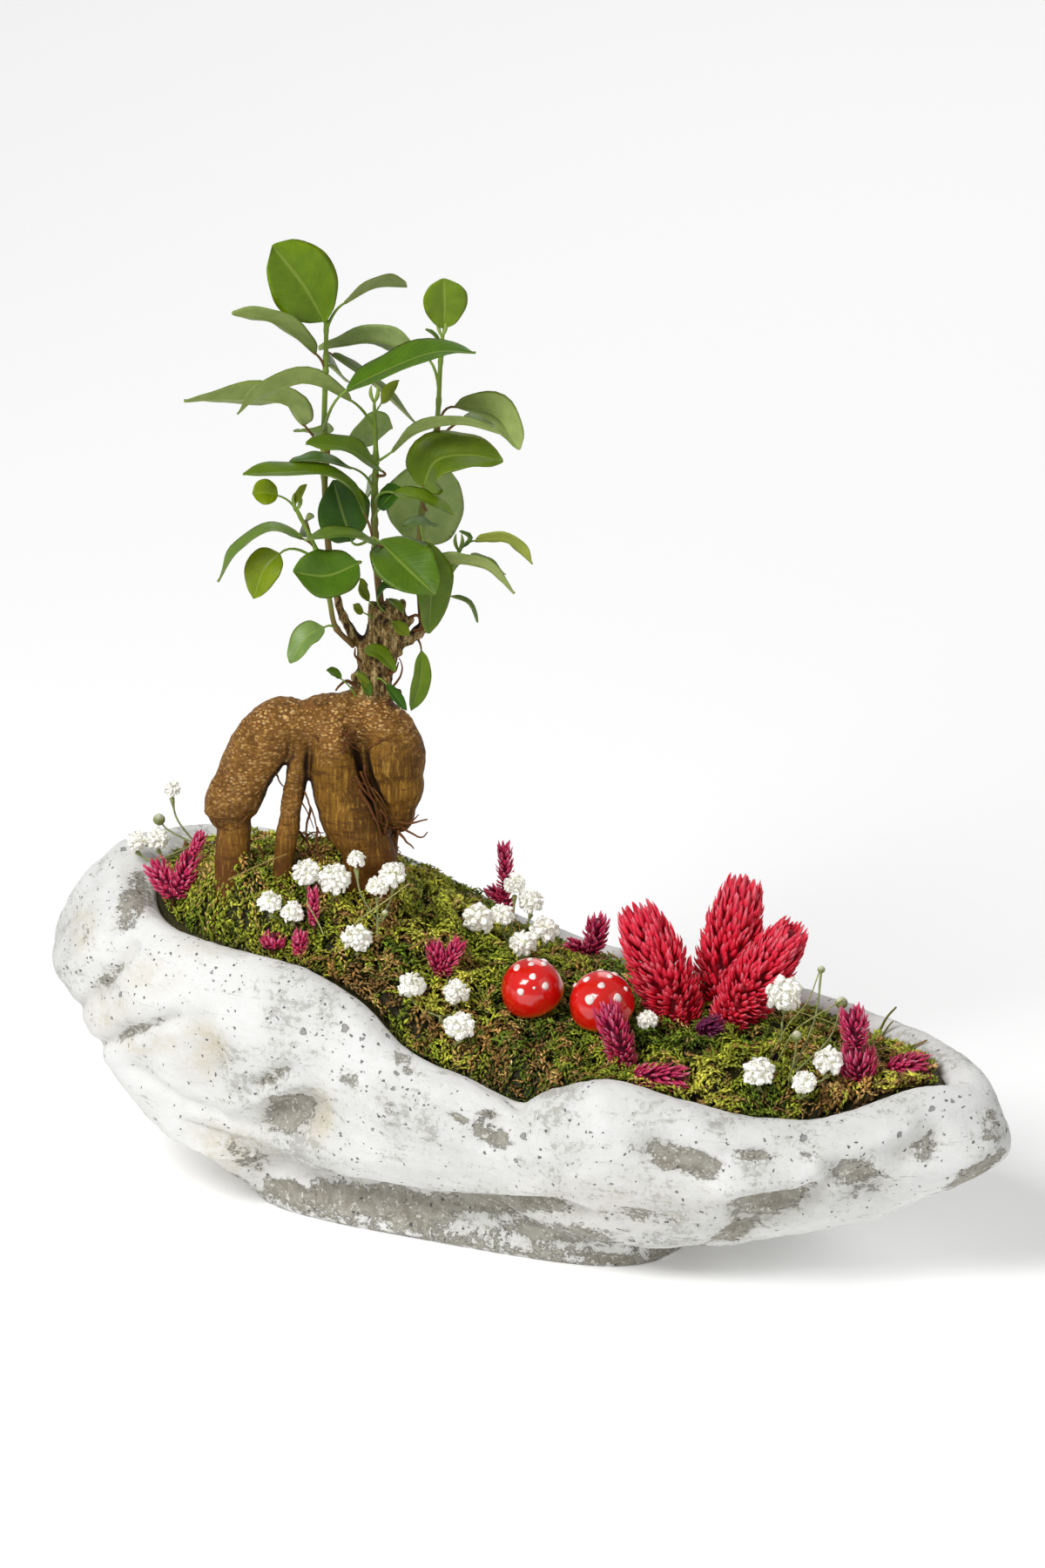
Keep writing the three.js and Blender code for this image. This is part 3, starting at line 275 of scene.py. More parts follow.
# The nodes of one material or group; every value and colour is a socket or a constant
class Nodes:
    def __init__(self, tree):
        self.tree = tree

    def add(self, kind, inputs=None, **settings):
        node = self.tree.nodes.new("ShaderNode" + kind)
        for name, value in settings.items():
            setattr(node, name, value)
        for name, value in (inputs or {}).items():
            if isinstance(value, bpy.types.NodeSocket):
                self.tree.links.new(value, node.inputs[name])
            else:
                node.inputs[name].default_value = value
        return node.outputs

    def calc(self, operation, a, b=0.0):
        return self.add("Math", {0: a, 1: b}, operation=operation)[0]

    def times(self, a, b):
        return self.calc("MULTIPLY", a, b)

    def oneLess(self, value):
        return self.calc("SUBTRACT", 1.0, value)

    # sum of values, each times its weight
    def weighed(self, first, *others):
        total = self.times(*first)
        for value, weight in others:
            total = self.calc("ADD", total, self.times(value, weight))
        return total

    def remap(self, value, low, high, toLow=0.0, toHigh=1.0):
        inputs = {"Value": value, "From Min": low, "From Max": high, "To Min": toLow, "To Max": toHigh}
        return self.add("MapRange", inputs, interpolation_type="SMOOTHSTEP")["Result"]

    def mix(self, factor, a, b, blend="MIX"):
        return self.add("Mix", {0: factor, 6: a, 7: b}, data_type="RGBA", blend_type=blend)[2]

    # from one colour to another as a value goes from low to high
    def ramp(self, value, low, high, a, b):
        return self.mix(self.remap(value, low, high), paintOf(a), paintOf(b))

    # colours laid over one another, each where its mask is and by its share
    def layered(self, colour, *layers):
        for mask, share, shown in layers:
            colour = self.mix(self.times(mask, share), colour, paintOf(shown))
        return colour

    # a colour between its darker and its lighter form, as a noise goes
    def varied(self, colour, pattern, dark, light):
        low, high = (self.mix(1.0, colour, (*factor, 1), "MULTIPLY") for factor in (dark, light))
        return self.mix(self.remap(pattern, 0.3, 0.7), low, high)

    def place(self, scale=(1, 1, 1), turn=(0, 0, 0)):
        coordinates = self.add("TexCoord")["Object"]
        return self.add("Mapping", {"Vector": coordinates, "Scale": scale, "Rotation": turn})[0]

    # size is the noise's cell in mm
    def noise(self, where, size, detail=3.0, roughness=0.55, distortion=0.0):
        return self.add("TexNoise", {"Vector": where, "Scale": 1000 / size, "Detail": detail,
                                     "Roughness": roughness, "Distortion": distortion})["Fac"]

    def attribute(self, name, output="Fac"):
        return self.add("Attribute", attribute_name=name, attribute_type="GEOMETRY")[output]

    # distance in mm
    def bump(self, height, distance, strength=1.0):
        return self.add("Bump", {"Height": height, "Distance": distance * 0.001, "Strength": strength})["Normal"]

    def finish(self, inputs):
        self.add("OutputMaterial", {"Surface": self.add("BsdfPrincipled", inputs)[0]})


def newMaterial(name):
    material = bpy.data.materials.new(name)
    material.use_nodes = True
    material.node_tree.nodes.clear()
    return material, Nodes(material.node_tree)


# A finish in the colours that the points carry, varied by a noise that also gives the relief
def shadedFinish(name, grain, dark, light, relief, inputs):
    material, s = newMaterial(name)
    fine = s.noise(s.place(), *grain)
    colour = s.varied(s.attribute("shade", "Color"), fine, dark, light)
    s.finish({"Base Color": colour, "Normal": s.bump(fine, *relief), **inputs})
    return material


# Pits group: round holes of mixed size where a random cell's middle comes near the surface
def makePits():
    group = bpy.data.node_groups.new("pits", "ShaderNodeTree")
    for name, way in (("Spacing", "INPUT"), ("Radius", "INPUT"), ("Share", "INPUT"), ("Hole", "OUTPUT")):
        group.interface.new_socket(name, in_out=way, socket_type="NodeSocketFloat")
    given = group.nodes.new("NodeGroupInput").outputs
    result = group.nodes.new("NodeGroupOutput").inputs
    s = Nodes(group)

    def vector(operation, a, inputs):
        return s.add("VectorMath", {0: a, **inputs}, operation=operation)[0]

    where = s.place()
    wobble = s.add("TexNoise", {"Vector": where, "Scale": 700.0, "Detail": 3.0})["Color"]
    shifted = vector("SCALE", vector("SUBTRACT", wobble, {1: (0.5, 0.5, 0.5)}), {"Scale": 0.0026})
    cells = s.add("TexVoronoi", {"Vector": vector("ADD", where, {1: shifted}),
                                 "Scale": s.calc("DIVIDE", 1000.0, given["Spacing"])})
    draw = s.add("SeparateColor", {"Color": cells["Color"]})
    size = s.times(given["Radius"], s.remap(draw[0], 0.0, 1.0, 0.45, 1.5))
    there = s.calc("LESS_THAN", draw[1], given["Share"])
    depth = s.oneLess(s.calc("DIVIDE", cells["Distance"], size))
    group.links.new(s.times(s.remap(depth, 0.0, 0.28), there), result["Hole"])
    return group


# Camera and stage
# Softboxes as [across, away, up], edge in metres, power in watts
lights = {
    "surround": 0.3,
    "floor": 0.93,
    "floorGlow": 0.2,
    "aim": (0, 0, 120),
    "boxes": {
        "key_light": ((-800, -900, 1300), 0.7, 23),
        "fill_light": ((1100, -700, 700), 1.0, 2),
        "back_light": ((300, 1300, 1100), 1.0, 6),
    },
}


def makeStage():
    scene = bpy.context.scene
    scene.view_settings.view_transform = "Standard"
    scene.view_settings.look = "None"
    camera = bpy.data.objects.new("camera", bpy.data.cameras.new("camera"))
    scene.collection.objects.link(camera)
    camera.data.lens = layout["lens"]
    camera.data.sensor_width = 36
    back = toRow([0, -tiltCos, tiltSin])
    camera.location = (np.array(layout["target"]) + back * layout["distance"]) * 0.001
    camera.rotation_euler = (pi / 2 - layout["viewTilt"], 0, layout["turn"])
    scene.camera = camera

    bpy.ops.mesh.primitive_plane_add(size=16, location=(0, 0, 0))
    floor = bpy.context.object
    floor.name = "floor"
    material, s = newMaterial("pale_floor")
    s.finish({"Base Color": (*[lights["floor"]] * 3, 1), "Roughness": 0.85,
              "Emission Color": (1, 1, 1, 1), "Emission Strength": lights["floorGlow"]})
    floor.data.materials.append(material)

    world = bpy.data.worlds.new("studio")
    world.use_nodes = True
    background = world.node_tree.nodes["Background"].inputs
    background["Color"].default_value = (1, 1, 1, 1)
    background["Strength"].default_value = lights["surround"]
    scene.world = world
    for name, (spot, size, power) in lights["boxes"].items():
        lamp = bpy.data.lights.new(name, "AREA")
        lamp.size = size
        lamp.energy = power
        box = bpy.data.objects.new(name, lamp)
        scene.collection.objects.link(box)
        box.location = toRow(spot) * 0.001
        away = unit(toRow(spot) - toRow(lights["aim"]))
        box.rotation_euler = (acos(away[2]), 0, atan2(away[1], away[0]) + pi / 2)


makeStage()
print("stage ready")


# Planter
# The wall runs from the foot over the ledge and the rim down to the bowl's floor; every place on it is
# a function of the turn round the planter and of a row on the way up, pressed in or out by its grooves.
planter = {
    "columns": 470,
    "foot": (2, 80, 45.5),        # middle, half length, half depth
    "footHeight": 17,
    "floorThickness": 19,
    "bowlFloor": 38,
    "bowlMiddle": (10, 0),
    # how far the ledge stands out past the foot, and the belly's height as a share of the crest's: middle, ends
    "ledgeOut": (9, 3),
    "ledgeOutLeft": 19,
    "belly": (0.72, 0.66),
    "span": (8, 185),             # middle and half length, to tell the ends from the middle
    "around": (15, 180, 66),      # middle, half length and half depth that the foot's outline follows
    "leftEnd": (90, 150),         # mm left of the origin where the left end's form comes in
    "rowShares": (0, 0.15, 0.3, 0.46, 0.62, 0.75, 0.86, 1),
    # rings from each row to the next, and the rows where the push ends and the inside begins
    "steps": [2, 10, 6, 11, 11, 13, 13, 12, 9, 11, 11, 11, 9, 8, 5, 4, 3],
    "pushEnd": (13.2, 14.6),
    "insideFrom": (14.2, 15.2),
    "lump": 0.7,                  # low unevenness of the cast
    "grain": 0.22,
    "pushLimits": (-8, 3),
    # label, spacing in mm, radius as a part of it, share of the places, how dark inside, colour inside; the dark
    # inside is painted shade in the holes
    "pits": [
        ("small pits", 2.2, 0.18, 1, 0.85, (0.08, 0.078, 0.075, 1)),
        ("large pits", 7.5, 0.13, 0.65, 0.7, (0.16, 0.155, 0.15, 1)),
    ],
    # outside [x, y], inner edge [x, y], height of the crest and of the ledge
    "stations": [
        [198, 0, 174, 0, 75, 9], [178, 25, 167, 10, 76, 10], [150, 43, 144, 26, 75, 12],
        [112, 57, 108, 41, 75, 15], [70, 65, 68, 49, 74, 20], [25, 67, 25, 51, 75, 23],
        [-15, 66, -14, 49, 82, 23], [-55, 62, -52, 44, 98, 22], [-95, 55, -88, 37, 103, 21],
        [-134, 40, -112, 23, 107, 20], [-163, 3, -120, 2, 109, 20], [-143, -36, -117, -18, 105, 20],
        [-110, -52, -103, -35, 100, 21], [-77, -60, -74, -44, 98, 22], [-46, -64, -44, -48, 97, 23],
        [-24, -66, -23, -50, 90, 23], [-4, -67, -4, -51, 75, 23], [20, -67, 20, -52, 69, 23],
        [39, -66, 39, -51, 63, 22], [53, -68, 53, -52, 71, 19], [74, -68, 73, -51, 77, 16],
        [102, -62, 98, -46.5, 72, 14], [128, -54, 122, -39, 67, 12], [152, -42, 144, -27.5, 68, 11],
        [177, -25, 166, -11, 76, 10],
    ],
    # Grooves (below zero) and ridges (above) as they show in front: width and depth in mm, then the line
    "grooves": [
        [2.6, -3, [[84, 1160], [118, 1130], [150, 1086]]], [2.6, -2.8, [[108, 1202], [150, 1186], [200, 1168]]],
        [5, 1.6, [[70, 1110], [108, 1090], [128, 1050]]], [4, 1.4, [[120, 1172], [170, 1148], [230, 1150]]],
        [7, -2.6, [[222, 1186], [244, 1220]]], [3, -2.2, [[294, 1248], [328, 1228]]],
        [3.2, 1.9, [[262, 1272], [300, 1262], [340, 1246]]], [6.5, -6, [[318, 1284], [342, 1276]]],
        [5, -2.4, [[352, 1290], [366, 1276]]], [2.2, -1.4, [[150, 1228], [210, 1266], [290, 1296]]],
        [4, 1.3, [[344, 1318], [420, 1330], [500, 1340]]],
        [9, 1.5, [[250, 1120], [340, 1150], [430, 1220], [520, 1300]]],
        [2.8, -1.8, [[506, 1276], [536, 1290], [556, 1312]]], [4, -2.2, [[560, 1296], [576, 1286]]],
        [3, -2, [[594, 1262], [600, 1290]]], [7, -3.6, [[752, 1320], [812, 1342]]],
        [5, 1.6, [[700, 1290], [770, 1292], [850, 1312]]], [5, 1.4, [[668, 1352], [740, 1372], [820, 1372]]],
        [2.6, -1.5, [[836, 1322], [886, 1323]]], [6, -4.2, [[856, 1392], [900, 1384], [928, 1372]]],
        [4.5, -2.2, [[826, 1420], [866, 1412]]], [4, 2.2, [[838, 1366], [880, 1358], [912, 1358], [936, 1344]]],
        [5.5, -3.4, [[962, 1342], [1006, 1364]]], [5, -2.6, [[1036, 1322], [1070, 1302]]],
        [3.6, 1.8, [[1000, 1398], [1052, 1358], [1110, 1330], [1136, 1312]]],
        [3, 1.4, [[936, 1328], [1000, 1312], [1040, 1296]]],
    ],
    # Overhanging lips: below the line the wall steps in by the depth and comes back over the width
    "lips": [
        [9, 3.4, [[330, 1330], [365, 1344], [430, 1357], [490, 1367], [570, 1371], [643, 1373], [662, 1380]]],
        [7, 2.4, [[838, 1372], [880, 1366], [910, 1366], [934, 1352]]],
        [6, 1.6, [[228, 1290], [270, 1302], [318, 1318]]],
    ],
    # Where the paint has worn off, and painted shadow in the recess under the ledge, both shown as bare grey stone:
    # middle, half sizes in steps, turn in degrees, strength
    "worn": [
        [154, 1034, 22, 42, 8, 0.8], [118, 1126, 36, 9, -46, 0.62], [156, 1184, 48, 8, -22, 0.62],
        [312, 1238, 24, 9, -28, 0.8], [326, 1280, 26, 26, 0, 1.15], [564, 1302, 26, 15, 30, 0.85],
        [524, 1283, 17, 7, 24, 0.8], [562, 1278, 13, 8, 0, 0.8], [782, 1332, 54, 18, 14, 1.05],
        [860, 1323, 30, 8, 2, 0.8], [886, 1384, 50, 19, -13, 1.05], [842, 1418, 30, 11, -12, 0.95],
        [984, 1348, 32, 26, 30, 0.85], [1056, 1318, 26, 18, -35, 0.62], [1118, 1340, 44, 12, -32, 0.9],
        [1136, 1290, 14, 26, 0, 0.6], [420, 1382, 110, 17, 7, 1.15], [570, 1386, 92, 11, 1, 1.1],
        [330, 1370, 34, 14, 14, 1.1], [470, 1404, 60, 12, 8, 0.9], [700, 1446, 52, 10, 6, 0.95],
        [610, 1414, 60, 12, 10, 0.75], [400, 1236, 30, 14, 40, 0.55], [440, 1262, 22, 9, 30, 0.6],
        [470, 1226, 30, 12, 40, 0.5], [280, 1330, 40, 16, 30, 0.6], [660, 1418, 70, 14, 6, 0.7],
        [930, 1320, 30, 10, -10, 0.5], [730, 1392, 60, 12, 5, 0.55], [100, 1070, 10, 16, 0, 0.5],
    ],
    "stained": [
        [232, 1206, 26, 32, 0, 0.9], [96, 1066, 16, 28, 0, 0.7], [122, 1160, 34, 26, -20, 0.6],
        [172, 1120, 34, 20, 0, 0.5], [366, 1282, 18, 28, 0, 0.9], [262, 1320, 44, 26, 20, 0.8],
        [170, 1200, 34, 12, 0, 0.7], [230, 1090, 40, 14, 0, 0.35], [700, 1380, 120, 30, 0, 0.3],
    ],
    "pitted": [
        [110, 1030, 60, 80, 0, 1], [230, 1110, 110, 30, 10, 0.9], [400, 1190, 90, 40, 40, 0.9],
        [570, 1290, 50, 30, 0, 1], [500, 1260, 60, 24, 20, 0.9], [1100, 1290, 60, 40, 0, 1],
        [940, 1330, 100, 20, 0, 0.7], [120, 1120, 60, 30, 0, 0.9], [400, 1300, 60, 50, 0, 0.6],
    ],
}


# Distance in the front view from points to a line of corners, in mm, and the side it lies on (below is above zero)
def lineDistance(right, down, corners):
    step = layout["viewStep"]
    best = np.full(right.shape, 1e9)
    below = np.zeros(right.shape)
    for (x0, y0), (x1, y1) in zip(corners[:-1], corners[1:]):
        along = np.array([x1 - x0, y1 - y0], float)
        length = np.hypot(*along)
        t = np.clip(((right - x0) * along[0] + (down - y0) * along[1]) / length ** 2, 0, 1)
        gap = np.hypot(right - x0 - t * along[0], down - y0 - t * along[1])
        side = (along[0] * (down - y0) - along[1] * (right - x0)) / length
        nearer = gap < best
        best = np.where(nearer, gap, best)
        below = np.where(nearer, side, below)
    return best * step, below * step


def patchSum(right, down, patches):
    total = np.zeros(right.shape)
    for x, y, halfWide, halfHigh, degrees, strength in patches:
        c = cos(radians(degrees))
        s = sin(radians(degrees))
        u = ((right - x) * c + (down - y) * s) / halfWide
        v = ((down - y) * c - (right - x) * s) / halfHigh
        total = np.maximum(total, strength * (1 - smooth(0.25, 1.6, np.hypot(u, v))))
    return total


# For each turn round the planter: outer and inner edge, outward way, crest, ledge, floor, and endness, which is
# 0 in the middle and 1 at the ends
def planterTurns(columns):
    stations = np.array(planter["stations"], float)
    t = np.arange(columns) / columns
    outer = curveThrough(stations[:, [0, 1, 4]], t, closed=True)
    inner = curveThrough(stations[:, [2, 3, 5]], t, closed=True)
    crest = outer[:, 2]
    ledge = inner[:, 2]
    outer = outer[:, :2]
    tangent = unit(np.roll(outer, -1, 0) - np.roll(outer, 1, 0))
    outwards = np.stack([tangent[:, 1], -tangent[:, 0]], -1)
    middle, halfLength = planter["span"]
    endness = np.minimum(1, np.abs(outer[:, 0] - middle) / halfLength)
    risen = ledge + (crest * 0.72 - ledge) * 0.55 * endness ** 3
    floor = np.maximum(planter["bowlFloor"] - 1, risen + planter["floorThickness"])
    return outer, inner[:, :2], outwards, crest, ledge, floor, endness


def planterRings(columns):
    outer, inner, outwards, crest, ledge, floor, endness = planterTurns(columns)
    middle, halfLength, halfDepth = planter["around"]
    angle = np.arctan2(outer[:, 1] / halfDepth, (outer[:, 0] - middle) / halfLength)
    footX, halfLength, halfDepth = planter["foot"]
    compass = np.stack([np.cos(angle), np.sin(angle)], -1)
    foot = [footX, 0] + [halfLength, halfDepth] * (np.sign(compass) * np.abs(compass) ** 0.5)
    leftness = smooth(*planter["leftEnd"], -outer[:, 0])
    ledgeOut = mixed(*planter["ledgeOut"], endness) + planter["ledgeOutLeft"] * leftness
    ledgePoint = foot + outwards * ledgeOut[:, None]
    belly = crest * mixed(*planter["belly"], endness)

    def lift(xy, z):
        return np.concatenate([xy, np.broadcast_to(z, (columns,))[:, None]], 1)

    def wall(share):
        xy = mixed(ledgePoint, outer, (share ** mixed(0.6, 0.95, endness))[:, None])
        return lift(xy, mixed(ledge, belly, share ** mixed(0.9, 2.1, endness)))

    def rim(share, drop):
        return lift(mixed(outer, inner, share), crest - drop)

    rows = [lift(foot - outwards * 1.2, 0.0), lift(foot, 1.0),
            lift(foot + outwards * mixed(1.5, 18, leftness)[:, None], np.minimum(planter["footHeight"], ledge - 4))]
    rows += [wall(share) for share in planter["rowShares"]]
    rows += [rim(0.1, mixed(8, 11, endness) + 12 * leftness), rim(0.3, 2 + 8 * leftness)]
    rows += [rim(share, drop) for share, drop in ((0.58, 0), (0.86, 1.6), (1.0, 5))]
    rows += [lift(inner, crest - 14), lift(inner, floor)]
    steps = planter["steps"]
    spots = np.concatenate([np.arange(n) / n + i for i, n in enumerate(steps)] + [[len(steps)]])
    rings = curveThrough(np.stack(rows), spots / len(steps))
    rings[..., 2] = np.maximum(rings[..., 2], 0)
    return rings, spots


# How far the wall is pushed out, or in below zero: the photo's grooves and lips as far as the wall faces the
# front, and dents and ridges of the same kind where the front view doesn't reach
def planterPush(rings, facing, right, down):
    push = np.zeros(facing.shape)
    for width, depth, corners in planter["grooves"]:
        gap, _ = lineDistance(right, down, corners)
        push += depth * np.exp(-(gap / width) ** 2) * facing
    for width, depth, corners in planter["lips"]:
        gap, below = lineDistance(right, down, corners)
        steppedIn = depth * smooth(-0.2, 1.4, below)
        push += (0.5 * (1 - smooth(-2.5, 0.2, below)) - steppedIn) * np.exp(-(gap / width) ** 2) * facing
    folds = cloud(rings * [0.7, 1, 1.5], 34, 5) + 0.5 * cloud(rings, 15, 6)
    dents = smooth(0.25, 0.6, cloud(rings * [0.7, 1, 1.3], 26, 8))
    push += (1 - facing) * (2.6 * folds - 2.2 * dents)
    push += planter["lump"] * (cloud(rings, 14, 1) + 0.5 * cloud(rings, 6.5, 2))
    push += planter["grain"] * cloud(rings, 2.4, 3)
    return np.clip(push, *planter["pushLimits"])


def makePlanter():
    rings, spots = planterRings(planter["columns"])
    normal = unit(np.cross(np.roll(rings, -1, 1) - np.roll(rings, 1, 1), np.gradient(rings, axis=0)))
    facing = smooth(-0.25, 0.2, normal @ unit(toRow([0, -1, 0.4])))
    right, down = seenFromFront(rings)
    push = planterPush(rings, facing, right, down)
    outside = 1 - smooth(*planter["pushEnd"], spots)[:, None]
    onTop = smooth(0, 5, rings[..., 2])
    moved = rings + normal * (push * outside * onTop)[..., None]

    # patches as they show in front, and patches of noise where the front view doesn't reach
    def masked(name, behind):
        return np.maximum(patchSum(right, down, planter[name]) * facing, (1 - facing) * behind)

    worn = masked("worn", smooth(0.12, 0.42, cloud(rings * [0.6, 1, 1.4], 26, 8)))
    # the lowest 24 mm greyer too: a worn foot, and painted shade on the underside
    worn = np.maximum(worn, 0.6 * (1 - smooth(2, 24, rings[..., 2])))
    stained = masked("stained", 0.6 * smooth(0.2, 0.6, cloud(rings, 30, 21)))
    pitted = masked("pitted", 0.8 * smooth(-0.1, 0.5, cloud(rings, 40, 33)))
    bundle = Bundle()
    bundle.addSkin(moved, [planter["foot"][0], 0, 0], [*planter["bowlMiddle"], planter["bowlFloor"]],
                   worn=worn, stained=stained, pitted=pitted, sunk=smooth(0.6, 4.5, -push),
                   inside=smooth(*planter["insideFrom"], spots)[:, None])
    makePiece("cast_planter", bundle, castStone(), ["planter"], inRow=True)


# White-washed concrete: paint over grey-beige stone, worn through in ragged patches, brushed along, pitted, with
# painted shade greying the grooves, the pits, the recess under the ledge and the foot
def castStone():
    material, s = newMaterial("cast_stone")
    where = s.place()
    ragged = s.noise(where, 9, 10, 0.78, 0.6)
    flaked = s.noise(where, 2.6, 8, 0.8, 0.3)
    fine = s.noise(where, 1.3, 6, 0.7)
    streak = s.noise(s.place((0.25, 0.25, 1.0), (0, 0.06, 0)), 3.4, 7, 0.72, 0.4)
    cloudy = s.noise(where, 34, 5, 0.6)

    # adds noises, each centred on nought and scaled, to a value
    def stirred(value, *patterns):
        for pattern, amount in patterns:
            value = s.calc("ADD", value, s.times(s.calc("SUBTRACT", pattern, 0.5), amount))
        return value

    edge = stirred(s.attribute("worn"), (ragged, 2.2), (flaked, 1.3), (streak, 1.0))
    bare = s.remap(edge, 0.55, 0.66)
    rubbed = s.remap(stirred(flaked, (cloudy, 0.7), (streak, 0.5)), 0.54, 0.68)
    stain = s.times(s.attribute("stained"), s.remap(ragged, 0.35, 0.6))
    flecks = s.remap(stirred(flaked, (fine, 0.8)), 0.58, 0.66)
    paint = s.mix(s.remap(cloudy, 0.35, 0.65), (0.79, 0.79, 0.775, 1), (0.68, 0.68, 0.66, 1))
    # grooves and dents pressed into the wall are greyed as painted shade; the other layers are rubbed paint, brush
    # streaks, stains and the grey rims round the bare patches
    paint = s.layered(paint, (rubbed, 0.6, (150, 149, 138)), (s.remap(streak, 0.56, 0.7), 0.45, (168, 168, 160)),
                      (stain, 0.75, (206, 194, 164)), (s.attribute("sunk"), 0.4, (176, 172, 158)),
                      (s.remap(edge, 0.28, 0.6), 0.45, (178, 174, 160)))
    stone = s.ramp(ragged, 0.4, 0.6, (136, 131, 118), (166, 163, 152))
    stone = s.layered(stone, (s.remap(fine, 0.5, 0.68), 0.5, (112, 106, 92)), (flecks, 0.7, (226, 225, 218)))
    colour = s.mix(bare, paint, stone)
    share = s.remap(s.attribute("pitted"), 0.0, 1.0, 0.3, 0.75)
    holes = []
    # each pit's inside is darkened as painted shade
    for label, spacing, radius, part, depth, dark in planter["pits"]:
        inputs = {"Spacing": spacing, "Radius": radius, "Share": s.times(share, part)}
        holes += s.add("Group", inputs, node_tree=pits, label=label)
        colour = s.mix(s.times(holes[-1], depth), colour, dark)
    colour = s.mix(s.times(s.attribute("inside"), 0.8), colour, (0.2, 0.17, 0.13, 1))
    height = s.weighed((fine, 0.5), (streak, 0.6), (bare, -0.5), (s.calc("MAXIMUM", *holes), -2.2))
    s.finish({"Base Color": colour, "Roughness": 0.88, "Normal": s.bump(height, 0.6, 0.9),
              "Specular IOR Level": 0.3})
    return material


pits = makePits()
makePlanter()
print("planter ready")


